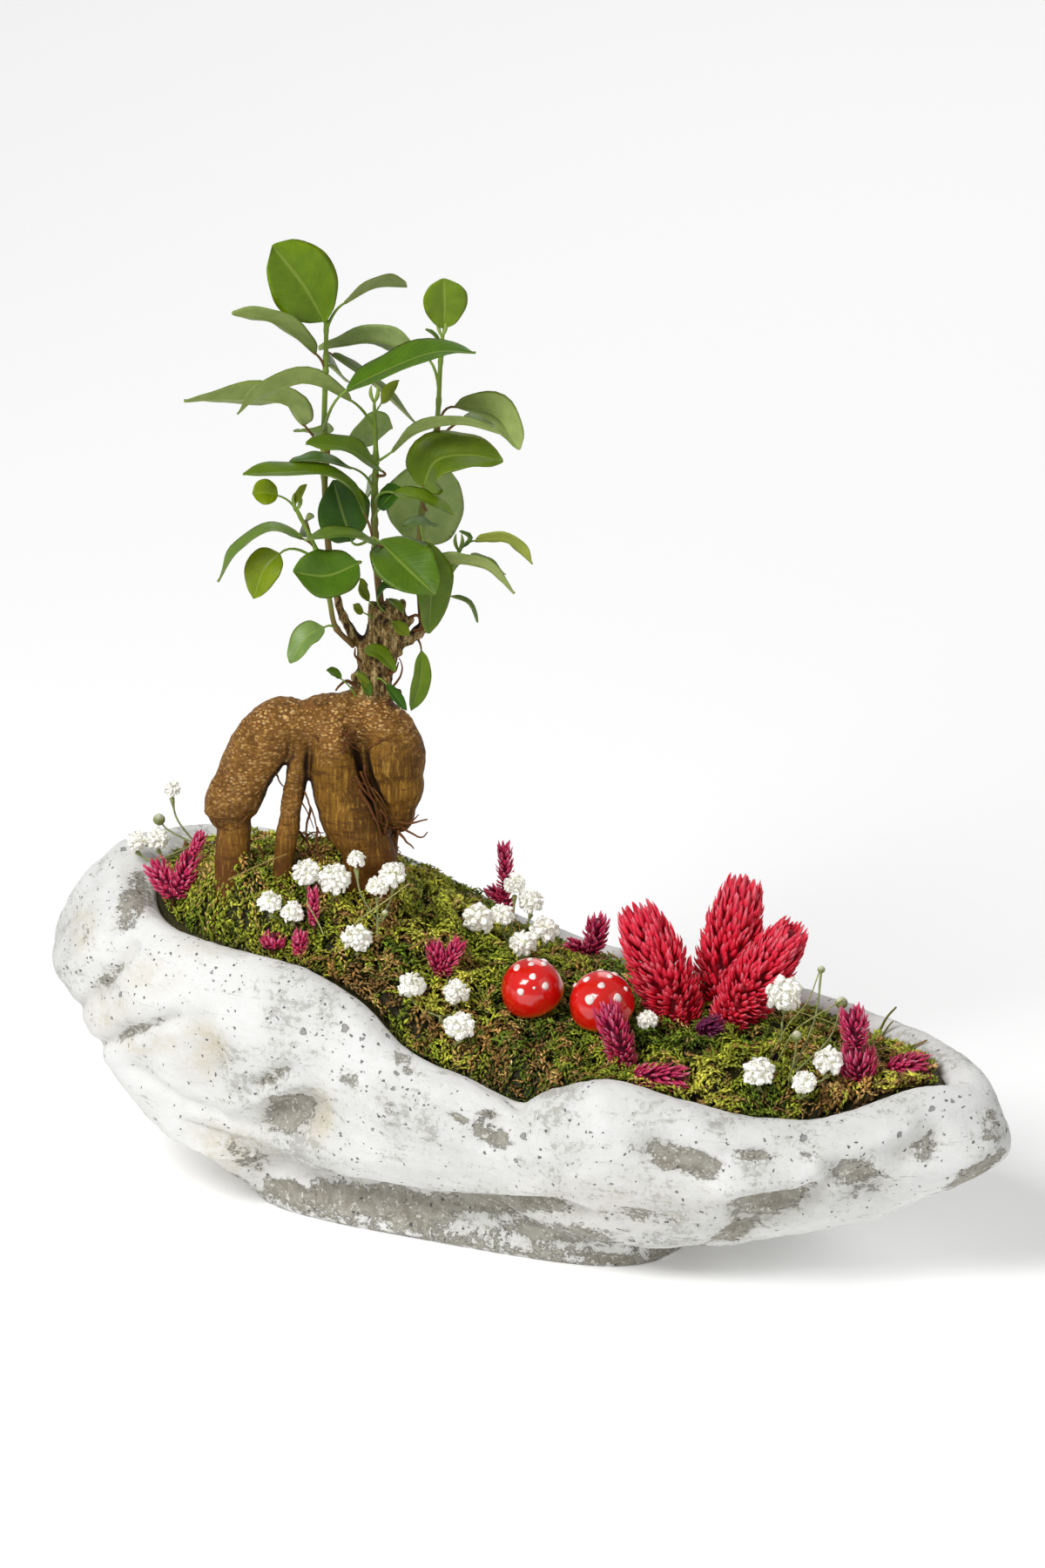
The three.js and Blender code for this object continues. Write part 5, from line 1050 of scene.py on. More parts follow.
# Leaves by their shoot: stem point, rib from the stalk to the tip as steps right and down in the front view and
# mm away, width, how far it opens to the front (below zero: its underside shows), where along the rib it is
# widest, how blunt its ends are, and tone
leafTable = {
    "shoot_left_tall": [
        ([-54.4, 14, 317], [(373, 371, 13), (350, 331, 11), (314, 285, 8)], 25.5, 0.97, 0.56, 0.52, "bright"),
        ([-54.4, 14, 316], [(396, 350, 17), (432, 331, 28), (468, 330, 36)], 15, -0.26, 0.5, 0.75, "grey"),
        ([-54.8, 14, 301], [(364, 408, 12), (320, 374, 4), (268, 362, -2)], 16.5, -0.34, 0.5, 0.68, "grey"),
        ([-54.6, 14, 306], [(382, 408, 22), (430, 442, 32), (478, 486, 40)], 14, 0.22, 0.5, 0.75, "grey"),
        ([-55.2, 14, 272], [(351, 490, 10), (331, 466, 6), (270, 459, 0), (213, 463, -5)],
         20, -0.42, 0.45, 0.7, "grey"),
        ([-55.3, 12.6, 280], [(399, 450, -8), (440, 430, -12), (500, 408, -16), (547, 408, -18)],
         19, 0.46, 0.36, 0.7, "dark"),
        ([-55, 15, 296], [(379, 420, 24), (386, 426, 34), (392, 432, 44)], 15, 0.2, 0.5, 0.72, "mature"),
        ([-54.6, 15, 262], [(374, 502, 24), (360, 497, 34), (346, 494, 42)], 14, 0.4, 0.5, 0.72, "mature"),
    ],
    "shoot_centre": [
        ([-37.8, 12, 280], [(404, 461, 8), (352, 441, -8), (300, 456, -18), (274, 478, -22)],
         16, -0.4, 0.45, 0.75, "grey"),
        ([-38, 12, 285], [(438, 465, 8), (447, 453, 6), (459, 438, 4)], 5.5, 0.8, 0.5, 0.8, "young"),
        ([-37.6, 12, 270], [(398, 512, 17), (425, 498, 24), (451, 492, 30)], 15, -0.75, 0.6, 0.6, "grey"),
        ([-37.6, 12, 268], [(450, 520, 6), (480, 497, 2), (530, 488, -2), (578, 500, -4)],
         13, -0.22, 0.5, 0.75, "grey"),
        ([-37.6, 12, 263], [(440, 542, 4), (400, 518, -4), (352, 511, -11)], 15, 0.42, 0.5, 0.7, "mature"),
        ([-37.8, 12, 257], [(405, 538, 8), (370, 530, 2), (333, 532, -3)], 12, 0.24, 0.5, 0.75, "dark"),
        ([-38, 12, 236], [(421, 594, 4), (404, 561, -2), (372, 545, -7), (320, 545, -12), (280, 546, -15)],
         15, 0.33, 0.62, 0.7, "mature"),
        ([-38, 12, 234], [(434, 626, -4), (400, 615, -8), (350, 621, -14)], 12, 0.3, 0.5, 0.72, "grey"),
        ([-38, 12, 241], [(404, 622, 8), (393, 588, 6), (383, 552, 5)], 20, 0.95, 0.5, 0.55, "deep"),
        ([-38, 12, 252], [(452, 566, 4), (486, 575, -1), (521, 592, -3)], 13, 0.42, 0.45, 0.7, "mature"),
        ([-38, 12, 246], [(436, 585, 8), (448, 572, 7), (461, 560, 6)], 10, 0.7, 0.5, 0.7, "deep"),
        ([-37.8, 12, 236], [(436, 622, 1), (464, 650, -8), (500, 684, -18)], 23, 0.86, 0.48, 0.55, "blue"),
        ([-37.6, 12, 230], [(468, 620, 26), (490, 582, 32), (511, 536, 38)], 31, -0.95, 0.52, 0.5, "pale"),
        ([-37.5, 13, 254], [(428, 562, 26), (424, 567, 36), (420, 572, 48)], 16, 0.3, 0.5, 0.72, "mature"),
    ],
    "shoot_right_tall": [
        ([-14.8, 18, 309], [(510, 379, 18), (511, 351, 17), (510, 322, 16)], 16, 0.97, 0.6, 0.46, "bright"),
        ([-14.8, 18, 303], [(506, 396, 20), (499, 386, 21), (489, 379, 22)], 2.6, 0.5, 0.5, 0.8, "dark"),
        ([-15.6, 18, 288], [(484, 407, 22), (430, 393, 28), (366, 402, 32)], 19, -0.42, 0.45, 0.7, "pale"),
        ([-16.2, 18, 274], [(522, 468, 9), (570, 478, 0), (597, 518, -6)], 16.5, -0.66, 0.52, 0.62, "grey"),
        ([-20.2, 18, 248], [(486, 560, 13), (502, 530, 9), (540, 524, 6), (578, 531, 4)],
         22, 0.78, 0.33, 0.62, "mature"),
        ([-21.4, 18, 244], [(503, 604, 7), (484, 602, 0), (463, 607, -8)], 9, 0.35, 0.5, 0.72, "dark"),
        ([-17, 19, 272], [(534, 484, 28), (560, 487, 38), (584, 496, 46)], 14, 0.3, 0.5, 0.72, "mature"),
        ([-22.6, 17, 244], [(487, 622, 4), (495, 670, -3), (492, 728, -9)], 16.5, 0.84, 0.46, 0.6, "mature"),
    ],
    "shoot_right_low": [
        ([-9.6, 10, 234.4], [(530, 630, 8), (539, 618, 4), (528, 610, 0)], 3, 0.5, 0.5, 0.8, "dark"),
        ([-9.4, 10, 234], [(546, 621, 8), (584, 623, 5), (612, 648, 2)], 11, -0.36, 0.45, 0.75, "yellow"),
        ([-14, 10, 221], [(502, 647, 11), (528, 646, 7), (560, 653, 4), (591, 682, 1)],
         12, -0.4, 0.34, 0.7, "grey"),
        ([-17, 10.7, 216], [(519, 684, 12), (538, 692, 13), (549, 715, 15)], 4, 0.4, 0.5, 0.75, "grey"),
        ([-12, 10, 227], [(540, 643, 24), (560, 649, 32), (580, 659, 38)], 12, 0.3, 0.5, 0.72, "mature"),
    ],
    "shoot_left_low": [
        ([-51, 5.4, 209], [(373, 720, 2), (353, 731, -1), (334, 762, -4)], 10.5, 0.82, 0.5, 0.6, "pale"),
        ([-56, -1, 234], [(412, 648, -8), (376, 662, -14), (338, 658, -20)], 19.5, 0.92, 0.5, 0.5, "blue"),
        ([-58, -2, 241], [(348, 619, -4), (312, 609, -6), (272, 635, -9), (251, 669, -10)],
         12, 0.33, 0.45, 0.75, "grey"),
        ([-56.5, -1, 236], [(322, 636, -3), (305, 653, -5), (292, 688, -6)], 13.5, 0.95, 0.45, 0.66, "young"),
        ([-63.5, -5, 254], [(320, 570, -5), (306, 567, -6), (291, 568, -7)], 9.4, 0.95, 0.52, 0.48, "young"),
        ([-64, -5, 256], [(338, 581, -4.8), (346, 569, -5), (353, 557, -5)], 5, 0.6, 0.5, 0.8, "young"),
        ([-60, -3.4, 247], [(352, 598, 4), (350, 602, 14), (352, 606, 26)], 9, 0.3, 0.5, 0.72, "mature"),
        ([-54, 1.4, 224], [(366, 650, 10), (362, 656, 18), (358, 662, 26)], 12, 0.35, 0.5, 0.72, "mature"),
    ],
    # young leaves growing straight from the trunk
    "sprouts": [
        ([-37, 11, 203], [(418, 745, 3), (436, 751, 0), (454, 771, -3)], 7.6, 0.7, 0.5, 0.66, "mature"),
        ([-23.8, 13, 203], [(484, 747, 9), (483, 780, 6), (472, 816, 3)], 7.6, 0.9, 0.52, 0.55, "mature"),
        ([-38, 8, 189], [(444, 785, 1), (454, 799, -1), (467, 816, -2)], 4.8, 0.8, 0.5, 0.75, "deep"),
        ([-41, 9.5, 184], [(424, 790, 1), (418, 782, 0), (409, 774, -2)], 4.2, 0.8, 0.5, 0.7, "young"),
        ([-44, 10, 180], [(392, 779, 3), (384, 773, 3), (375, 769, 3)], 4.6, 0.7, 0.5, 0.7, "dark"),
        ([-37, 9, 210], [(417, 703, 6), (411, 700, 5), (406, 694, 4)], 4.4, 0.8, 0.5, 0.6, "young"),
        ([-34, 9, 212], [(424, 690, 8), (416, 678, 7), (414, 664, 6)], 5.6, 0.7, 0.5, 0.6, "yellow"),
        ([-33, 8, 213], [(434, 684, 8), (444, 674, 6), (456, 676, 4)], 6.4, 0.5, 0.5, 0.7, "deep"),
        ([-31, 9, 213], [(446, 688, 8), (454, 694, 6), (464, 704, 4)], 5, 0.6, 0.5, 0.7, "mature"),
        ([-28, 8, 206], [(452, 714, 6), (460, 722, 5), (470, 730, 4)], 6, 0.8, 0.5, 0.6, "yellow"),
        ([-38, 9, 188], [(412, 776, 1), (420, 788, 0), (424, 800, -1)], 5.2, 0.7, 0.5, 0.66, "dark"),
    ],
}


# What stalks and buds carry in place of a blade's data
bladeless = {"below": 0.5, "blade": 0, "uv": (0.5, 0.5)}


# The rib's points at t, and the blade's sideways and upward ways there
def leafFrame(seenRib, opening, t):
    ends = np.array([seenPlace(*spot) for spot in seenRib])
    rib = curveThrough(ends, t)
    way = unit(curveThrough(ends, t + 0.01) - curveThrough(ends, t - 0.01))
    front = np.array([0, -tiltCos, tiltSin])
    rolled = np.cross(ends[-1] - ends[0], front)
    towards = unit(front - way * (way @ front)[:, None])
    upwards = np.cross(way, towards) * (-1 if rolled[2] + 0.2 * rolled[0] < 0 else 1)
    face = towards * opening + upwards * sqrt(1 - opening ** 2)
    return rib, np.cross(way, face), face


def addLeaf(bundle, leaf, seed):
    stemPoint, seenRib, width, opening, widest, bluntness, tone = leaf
    stemPoint = np.array(stemPoint, float)
    random = np.random.default_rng(seed)
    rows, half = foliage["grid"] if width > 7 else foliage["smallGrid"]
    t = 0.5 - 0.5 * np.cos(pi * np.arange(1, rows + 1) / (rows + 1))
    rib, side, face = leafFrame(seenRib, opening, t)
    ends, _, _ = leafFrame(seenRib, opening, np.array([0.0, 1.0]))
    skew = log(0.5) / log(widest)
    outline = width / 2 * np.sin(pi * t ** skew) ** bluntness
    outline = outline * (1 - 0.3 * smooth(0.9, 1.0, t) - 0.25 * (1 - smooth(0.0, 0.1, t)))
    twist = (random.uniform(-0.22, 0.22) * (t - 0.3))[:, None]
    sides = side * np.cos(twist) + face * np.sin(twist)
    faces = face * np.cos(twist) - side * np.sin(twist)
    v = np.linspace(-1, 1, 2 * half + 1)
    out = np.abs(v)
    wave = 0.03 * width * np.sin(t * random.uniform(7, 11) + seed)[:, None] * out ** 2 * np.sign(v)
    wave = wave + 0.018 * width * np.sin(t * 17 + seed * 2)[:, None] * out ** 3
    lifted = outline[:, None] * (0.30 * out - 0.10 * out ** 2) + wave - 0.14 * np.exp(-(v / 0.12) ** 2)
    flat = outline[:, None] * v * 0.98
    thick = foliage["thick"]
    top = rib[:, None] + sides[:, None] * flat[..., None] + faces[:, None] * (lifted + thick / 2)[..., None]
    thick = thick * (1 - 0.55 * out) + 0.34 * np.exp(-(v / 0.1) ** 2) * (1 - 0.6 * t[:, None])
    under = top - faces[:, None] * thick[..., None]
    rings = np.concatenate([top, under[:, -2:0:-1]], 1)
    shift = 1 + 0.09 * (random.random(3) - 0.5)
    below = np.concatenate([np.zeros(2 * half + 1), np.ones(2 * half - 1)])
    upper, lower = (tint(*shown) * shift for shown in foliage["tones"][tone])
    across = np.concatenate([v, v[-2:0:-1]]) * 0.5 + 0.5
    uv = np.stack(np.broadcast_arrays(across[None, :], t[:, None]), -1)
    bundle.addSkin(rings, *ends, tone=mixed(upper, lower, below[:, None])[None], below=below[None], blade=1, uv=uv)
    # the stalk bends from the stem into the rib
    s = np.linspace(0, 1, 9)[:, None]
    base = ends[0]
    into = rib[2] - faces[2] * 0.1
    middle = base - unit(rib[1] - base) * min(0.45 * np.linalg.norm(base - stemPoint), 6)
    path = ((1 - s) ** 3 * stemPoint + 3 * s * (1 - s) ** 2 * (0.6 * stemPoint + 0.4 * middle)
            + 3 * s ** 2 * (1 - s) * middle + s ** 3 * into)
    radius = foliage["stalk"] * min(1, 0.5 + width / 30)
    ruddy = tone in ("grey", "mature") and random.random() < 0.5
    colour = foliage["stalkColours"][0 if ruddy else 1]
    addTube(bundle, path, radius * np.linspace(1.3, 0.8, 9), 7, tone=tint(*colour), **bladeless)


def addStem(bundle, stem, radii, leaves):
    t = np.linspace(0, 1, 14 * (len(stem) - 1))
    path = curveThrough(stem, t)
    widths = np.interp(t * (len(stem) - 1), np.arange(len(stem)), radii) * 0.92
    joints = np.array([leaf[0][2] for leaf in leaves])
    swell = np.exp(-((path[:, 2][:, None] - joints) / 1.1) ** 2).max(1)
    foot, top = (tint(*shown) for shown in foliage["stemColours"])
    woody = mixed(foot, top, smooth(0.15, 0.75, t)[:, None])
    addTube(bundle, path, widths * (1 + 0.35 * swell), 10, tone=woody[:, None], **bladeless)


# Two pointed scales at a stem's end
def addBud(bundle, tip):
    s = np.linspace(0, 1, 6)[:, None]
    for lean in (-1, 1):
        scale = tip + np.array([lean * 0.9, 0, 6.5]) * s + np.array([lean * 0.8, 0, 0]) * np.sin(pi * s)
        addTube(bundle, scale, 0.75 * np.sin(pi * (0.15 + 0.8 * s[:, 0])), 6,
                tone=tint(*foliage["budColour"]), **bladeless)


def makeShoots():
    material = leafFinish()
    for number, (name, (stem, radii)) in enumerate(foliage["stems"].items()):
        bundle = Bundle()
        leaves = leafTable[name]
        addStem(bundle, stem, radii, leaves)
        for k, leaf in enumerate(leaves):
            addLeaf(bundle, leaf, 100 * number + k + 1)
        addBud(bundle, stem[-1])
        makePiece(f"leafy_{name}", bundle, material, [name])
    bundle = Bundle()
    for k, leaf in enumerate(leafTable["sprouts"]):
        addLeaf(bundle, leaf, 700 + k)
    makePiece("trunk_sprouts", bundle, material)


# Glossy leaf: pale rib and faint side veins on the map of width and length, mottled, duller underneath
def leafFinish():
    material, s = newMaterial("leaf")
    where = s.place()
    uv = s.add("SeparateXYZ", {0: s.add("UVMap", uv_map="UVMap")[0]})
    off = s.calc("ABSOLUTE", s.calc("SUBTRACT", uv[0], 0.5))
    blade = s.attribute("blade")
    rib = s.times(s.oneLess(s.remap(off, 0.008, 0.034)), blade)
    slant = s.weighed((uv[1], 13.0), (off, -7.0))
    ripple = s.calc("SINE", s.times(slant, 2 * pi))
    veins = s.times(s.remap(ripple, 0.82, 1.0), blade)
    mottled = s.noise(where, 5.5, 4, 0.6)
    colour = s.varied(s.attribute("tone", "Color"), mottled, (0.84, 0.88, 0.8), (1.14, 1.1, 1.1))
    colour = s.layered(colour, (rib, 0.4, (160, 176, 84)), (veins, 0.06, (150, 172, 76)))
    relief = s.weighed((veins, -0.12), (mottled, 0.25), (s.noise(where, 1.2, 3), 0.12))
    s.finish({"Base Color": colour, "Roughness": s.remap(s.attribute("below"), 0.0, 1.0, 0.4, 0.65),
              "Normal": s.bump(relief, 0.3, 0.7), "Specular IOR Level": 0.3, "Subsurface Weight": 0.1,
              "Subsurface Radius": (1.0, 1.0, 0.2), "Subsurface Scale": 0.0012})
    return material


makeShoots()
print("leaves ready")


# Moss
# The bed's height is a mix of the edge's and the middle's along the planter, with a mound round the roots.
# Fronds lie over it: each is a path that turns as it runs, rises from the bed and sinks again, set on both
# sides with pointed leaflets that overlap and point forward and out.
moss = {
    "centre": np.array([10, 0]),
    "halfWidth": 52,
    "depth": 13,
    "belowRim": 4,
    "bumps": 2.4,
    "edgeAir": 0.5,
    "columns": 220,
    # height along the planter, in the middle and at the edge
    "crown": [[-140, 101], [-120, 104], [-90, 110], [-54, 113], [-20, 100], [0, 88], [40, 79], [100, 76],
              [170, 70]],
    "edge": [[-140, 100], [-125, 98], [-50, 93], [0, 74], [40, 68], [100, 66], [170, 68]],
    # across, away, half length, half depth, height
    "mounds": [(-58, 10, 34, 17, 10), (-94, 2, 15, 17, 13), (-88, -2, 15, 11, 7)],
    "fronds": 4500,
    "leaflets": 10,
    "length": (6, 11.5),
    "leaflet": (3, 0.62, 0.4),  # length, half width, half thickness
    "rise": (0.8, 5.2),
    "parts": [(-140, -38), (-38, 36), (36, 190)],
    # where it is dry and brown: middle along and back, half sizes, strength
    "dry": [[-25, -45, 15, 14, 0.9], [22, -40, 26, 15, 0.6], [-42, -20, 30, 12, 0.35], [148, -10, 26, 24, 0.8],
            [-100, 0, 20, 20, 0.35], [60, 30, 60, 16, 0.4], [-60, 30, 30, 14, 0.5]],
    "colours": {"bright": (200, 200, 84), "green": (156, 166, 54), "deep": (98, 122, 34),
                "dry": (152, 114, 66), "straw": (204, 174, 116), "ground": (48, 46, 18), "blade": (140, 156, 46)},
    # upright young shoots: across, away, height over the moss
    "blades": [[78, -62, 9], [81, -60, 12], [84, -61, 8], [-26, 2, 8], [-22, 4, 7], [-96, 4, 9], [-93, 0, 7],
               [30, -56, 7], [34, -54, 6], [120, -62, 8], [-8, 24, 7], [60, -60, 7], [-70, -12, 7]],
    # stray stalks and dry twigs: steps right and down in the front view and mm away, radius, colour
    "stalks": [
        ([(1004, 1204, -30), (1011, 1182, -30), (1019, 1167, -31), (1029, 1156, -32)], 0.6, (122, 120, 62)),
        ([(1012, 1190, -30), (1022, 1176, -30), (1026, 1172, -30)], 0.4, (122, 120, 62)),
        ([(1034, 1224, -44), (1040, 1205, -44), (1050, 1200, -44), (1064, 1194, -44)], 0.6, (150, 120, 78)),
        ([(1040, 1212, -46), (1052, 1206, -46), (1062, 1208, -46)], 0.5, (130, 100, 60)),
        ([(884, 1212, -62), (904, 1176, -62), (926, 1150, -60), (940, 1114, -58)], 0.36, (150, 152, 96)),
        ([(1010, 1214, -60), (990, 1192, -60), (950, 1172, -60), (906, 1158, -60)], 0.34, (160, 160, 104)),
        ([(892, 1218, -66), (912, 1182, -66), (938, 1164, -66), (968, 1146, -66)], 0.34, (160, 160, 104)),
        ([(398, 1068, -12), (426, 1046, -14), (446, 1032, -14), (470, 1014, -14)], 0.34, (170, 168, 116)),
        ([(352, 1036, -22), (366, 1060, -22), (372, 1074, -24)], 0.34, (170, 168, 116)),
        ([(262, 1010, -6), (300, 992, -4), (330, 980, -2)], 0.4, (142, 122, 66)),
        ([(470, 1090, -20), (492, 1078, -18), (510, 1084, -16)], 0.5, (140, 110, 60)),
    ],
}


def mossCrown(points):
    x, y = points[..., 0], points[..., 1]
    edge, crown = (np.interp(x, *np.array(moss[name], float).T) for name in ("edge", "crown"))
    p = toPlanting(np.stack([x, y, 0 * x], -1))
    mound = sum(height * np.exp(-((p[..., 0] - across) / length) ** 2 - ((p[..., 1] - away) / depth) ** 2)
                for across, away, length, depth, height in moss["mounds"])
    return mixed(edge, crown, 1 - np.minimum(1, (y / moss["halfWidth"]) ** 2)) + mound


def mossBumps(points):
    x, y = points[..., 0], points[..., 1]
    waves = np.sin(x * 0.31 + 2 * np.sin(y * 0.17)) + np.sin(y * 0.37 + x * 0.13) * np.cos(x * 0.23 - y * 0.11)
    return moss["bumps"] * 0.5 * waves


# Edge of the moss by the direction from its centre: distance out and height there
def mossEdge():
    _, inner, outwards, crest, *_ = planterTurns(moss["columns"])
    return inner - outwards * moss["edgeAir"] - moss["centre"], crest - moss["belowRim"]


# Height of the moss over places, and how far out they lie as a share of the way to its edge
def mossSurface(points):
    edge, height = mossEdge()
    angle = np.arctan2(edge[:, 1], edge[:, 0])
    order = np.argsort(angle)
    away = points[..., :2] - moss["centre"]

    def byWay(values):
        return np.interp(np.arctan2(away[..., 1], away[..., 0]), angle[order], values[order], period=2 * pi)

    share = np.linalg.norm(away, axis=-1) / byWay(np.linalg.norm(edge, axis=1))
    blend = smooth(0.84, 1.0, share)
    crown = mossCrown(points) + mossBumps(points) * (1 - blend)
    return mixed(crown, byWay(height), blend), share


def mossColours(random, points):
    shades = {name: tint(*shown) for name, shown in moss["colours"].items()}
    count = len(points)
    patch = cloud(points, 17, 41) + 0.5 * cloud(points, 7, 42) + 0.5 * (random.random(count) - 0.5)
    dry = np.zeros(count)
    for x, y, halfLong, halfWide, strength in moss["dry"]:
        d = ((points[:, 0] - x) / halfLong) ** 2 + ((points[:, 1] - y) / halfWide) ** 2
        dry = np.maximum(dry, strength * np.exp(-d))
    colour = mixed(shades["deep"], shades["green"], smooth(-0.6, 0.1, patch)[:, None])
    colour = mixed(colour, shades["bright"], smooth(0.05, 0.7, patch)[:, None])
    brown = mixed(shades["dry"], shades["straw"], random.random((count, 1)) ** 2)
    chance = dry * 0.9 + 0.10 + 0.2 * smooth(0.3, 0.8, cloud(points, 10, 43))
    colour = np.where((random.random(count) < chance)[:, None], brown, colour)
    return colour * random.uniform(0.55, 1.36, (count, 1))


# Keeps strands inside the bowl and under the mushroom caps
def mossKept(path, share):
    centre = np.array([*moss["centre"], 0.0])
    out = np.maximum(share / 0.985, 1)[..., None]
    flat = (path - centre) / np.where([True, True, False], out, 1) + centre
    for cap in mushrooms.values():
        under = toRow(np.array(cap["under"], float))
        near = np.linalg.norm(flat[..., :2] - under[:2], axis=-1) < cap["radius"] + 0.8
        flat[..., 2] = np.where(near, np.minimum(flat[..., 2], under[2] - 1.4), flat[..., 2])
    return flat


# The mat under the fronds: rings from the underside's middle out to the edge and back over the top
def makeMossMat(material, edge):
    centre = moss["centre"]
    shares = np.linspace(1, 0.06, 44)
    top = centre + edge * shares[:, None, None]
    surface, _ = mossSurface(top)
    above = np.concatenate([top, surface[..., None]], -1)
    rough = 0.9 * cloud(above, 4.5, 51) + 0.6 * cloud(above, 2.2, 52) - 1.2
    top = np.concatenate([top, (surface + rough * smooth(0, 0.06, 1 - shares)[:, None])[..., None]], -1)
    under = centre + edge * np.array([0.1, 0.34, 0.6, 0.8, 0.92, 1.0])[:, None, None]
    surface, _ = mossSurface(under)
    under = np.concatenate([under, (surface - moss["depth"])[..., None]], -1)
    rings = np.concatenate([under, top])
    poles = [[*centre, row[:, 2].mean()] for row in (under[0], top[-1])]
    # the mat's dark olive is the bed's own colour and also painted shade for the gaps between fronds
    ground = tint(*moss["colours"]["ground"]) * (1 + 0.5 * cloud(rings, 9, 53))[..., None]
    bundle = Bundle()
    bundle.addSkin(rings, *poles, shade=ground)
    makePiece("moss_mat", bundle, material, ["moss_bed"], inRow=True)


# Paths of the fronds, the moss's height under them, and where along a path each point lies
def frondPaths(random, edge):
    count = moss["fronds"]
    centre = moss["centre"]
    # places spread evenly over the bed, more of them where it is steep
    reach = np.abs(edge).max(0)
    spots = np.concatenate([centre + random.uniform(-1, 1, (9 * count, 2)) * reach, np.zeros((9 * count, 1))], 1)
    level, share = mossSurface(spots)
    ahead, _ = mossSurface(spots + [1, 0, 0])
    aside, _ = mossSurface(spots + [0, 1, 0])
    steep = np.sqrt(1 + (ahead - level) ** 2 + (aside - level) ** 2)
    spots = spots[(share < 0.99) & (random.random(len(spots)) < steep / 3)][:count]
    count = len(spots)
    leaflets = moss["leaflets"]
    half = leaflets // 2
    s = np.linspace(0, 1, leaflets + 1)
    heading = random.random(count)[:, None] * 2 * pi + random.normal(0, 1.5, (count, 1)) * s
    heading += 0.4 * np.sin(s * 7 + random.random((count, 1)) * 6)
    step = random.uniform(*moss["length"], (count, 1)) / leaflets
    x, y = (np.cumsum(way(heading) * step, 1) for way in (np.cos, np.sin))
    path = np.stack([spots[:, :1] + x - x[:, half:half + 1], spots[:, 1:2] + y - y[:, half:half + 1], 0 * x], -1)
    surface, share = mossSurface(path)
    path = mossKept(path, share)
    rise = random.uniform(*moss["rise"], (count, 1)) * np.sin(pi * np.clip(0.1 + s * 0.8, 0, 1)) ** 0.8
    path[..., 2] = surface + rise + random.uniform(-1.2, 1.2, (count, 1)) * s - 0.2
    return mossKept(path, 0 * share), surface, s


# Leaflets start along each path, to the left and right by turns, each a four-sided spindle
def makeFronds(material, edge, random):
    path, surface, s = frondPaths(random, edge)
    count, leaflets = len(path), moss["leaflets"]
    middle = path[:, leaflets // 2]
    colour = mossColours(random, middle)
    long, wide, thick = moss["leaflet"]
    foot = path[:, :-1]
    way = unit(path[:, 1:] - foot)
    side = unit(np.cross(way, [0.1, 0.1, 1.0]))
    upwards = np.cross(side, way)
    hand = np.where(np.arange(leaflets) % 2 == 0, 1.0, -1.0)[None, :, None]
    scale = (random.uniform(0.75, 1.25, (count, 1)) * (1 - 0.55 * s[:-1] ** 2))[..., None]
    lift = random.uniform(0.05, 0.5, (count, leaflets, 1))
    out = unit(way * 0.9 + side * hand * random.uniform(0.35, 0.8, (count, leaflets, 1)) + upwards * lift)
    flat = unit(np.cross(out, upwards))
    turn = (np.arange(4) * pi / 2)[:, None]
    across = (flat * wide * scale)[..., None, :] * np.cos(turn)
    through = (np.cross(flat, out) * thick * scale)[..., None, :] * np.sin(turn)
    rings = (foot + out * (0.42 * long * scale))[..., None, :] + across + through
    base = foot - out * (0.1 * long)
    tips = foot + out * (long * scale) + np.array([0, 0, -0.12])
    # painted shade and light: leaflets low by the bed are darkened, those standing higher are lightened
    light = 0.3 + 1.04 * smooth(-0.3, 3.8, path[:, :-1, 2] - surface[:, :-1])[..., None]
    shade = colour[:, None] * light * random.uniform(0.72, 1.28, (count, leaflets, 1))
    for number, (low, high) in enumerate(moss["parts"]):
        here = (middle[:, 0] >= low) & (middle[:, 0] < high)
        bundle = Bundle()
        bundle.addSkins(rings[here].reshape(-1, 1, 4, 3), base[here].reshape(-1, 3), tips[here].reshape(-1, 3),
                        shade=shade[here].reshape(-1, 1, 1, 3))
        makePiece(f"moss_fronds_{number + 1}", bundle, material, inRow=True)


def makeMossStalks(material, random):
    bundle = Bundle()
    t = np.linspace(0, 1, 8)
    green = tint(*moss["colours"]["blade"]) * (0.5 + 0.6 * t[:, None])
    for across, away, tall in moss["blades"]:
        for lean in (-0.5, 0.1, 0.6):
            foot = toRow([across + lean * 2, away + lean, 0.0])
            level, _ = mossSurface(foot)
            rise = np.stack([lean * tall * 0.5 * t ** 2, 0.2 * tall * t ** 2 * lean, tall * t], -1)
            line = np.array([*foot[:2], level - 1]) + rise * random.uniform(0.7, 1.0)
            addTube(bundle, line, 0.75 * (1 - t ** 2) + 0.1, 5, shade=green[:, None])
    makePiece("moss_young_shoots", bundle, material, inRow=True)

    bundle = Bundle()
    for shown, radius, colour in moss["stalks"]:
        line = curveThrough([seenPlace(*spot) for spot in shown], np.linspace(0, 1, 12))
        addTube(bundle, line, np.linspace(radius, 0.6 * radius, 12), 5, shade=tint(*colour))
    makePiece("stray_stalks", bundle, material)


def makeMoss():
    material = mossFinish()
    random = np.random.default_rng(11)
    edge, _ = mossEdge()
    makeMossMat(material, edge)
    makeFronds(material, edge, random)
    makeMossStalks(material, random)


def mossFinish():
    return shadedFinish("moss", (0.9, 3, 0.6), (0.5, 0.5, 0.4), (1.35, 1.3, 1.1), (0.3, 0.6),
                        {"Roughness": 0.6, "Specular IOR Level": 0.3, "Subsurface Weight": 0.12,
                         "Subsurface Radius": (1.0, 1.0, 0.3), "Subsurface Scale": 0.0008})


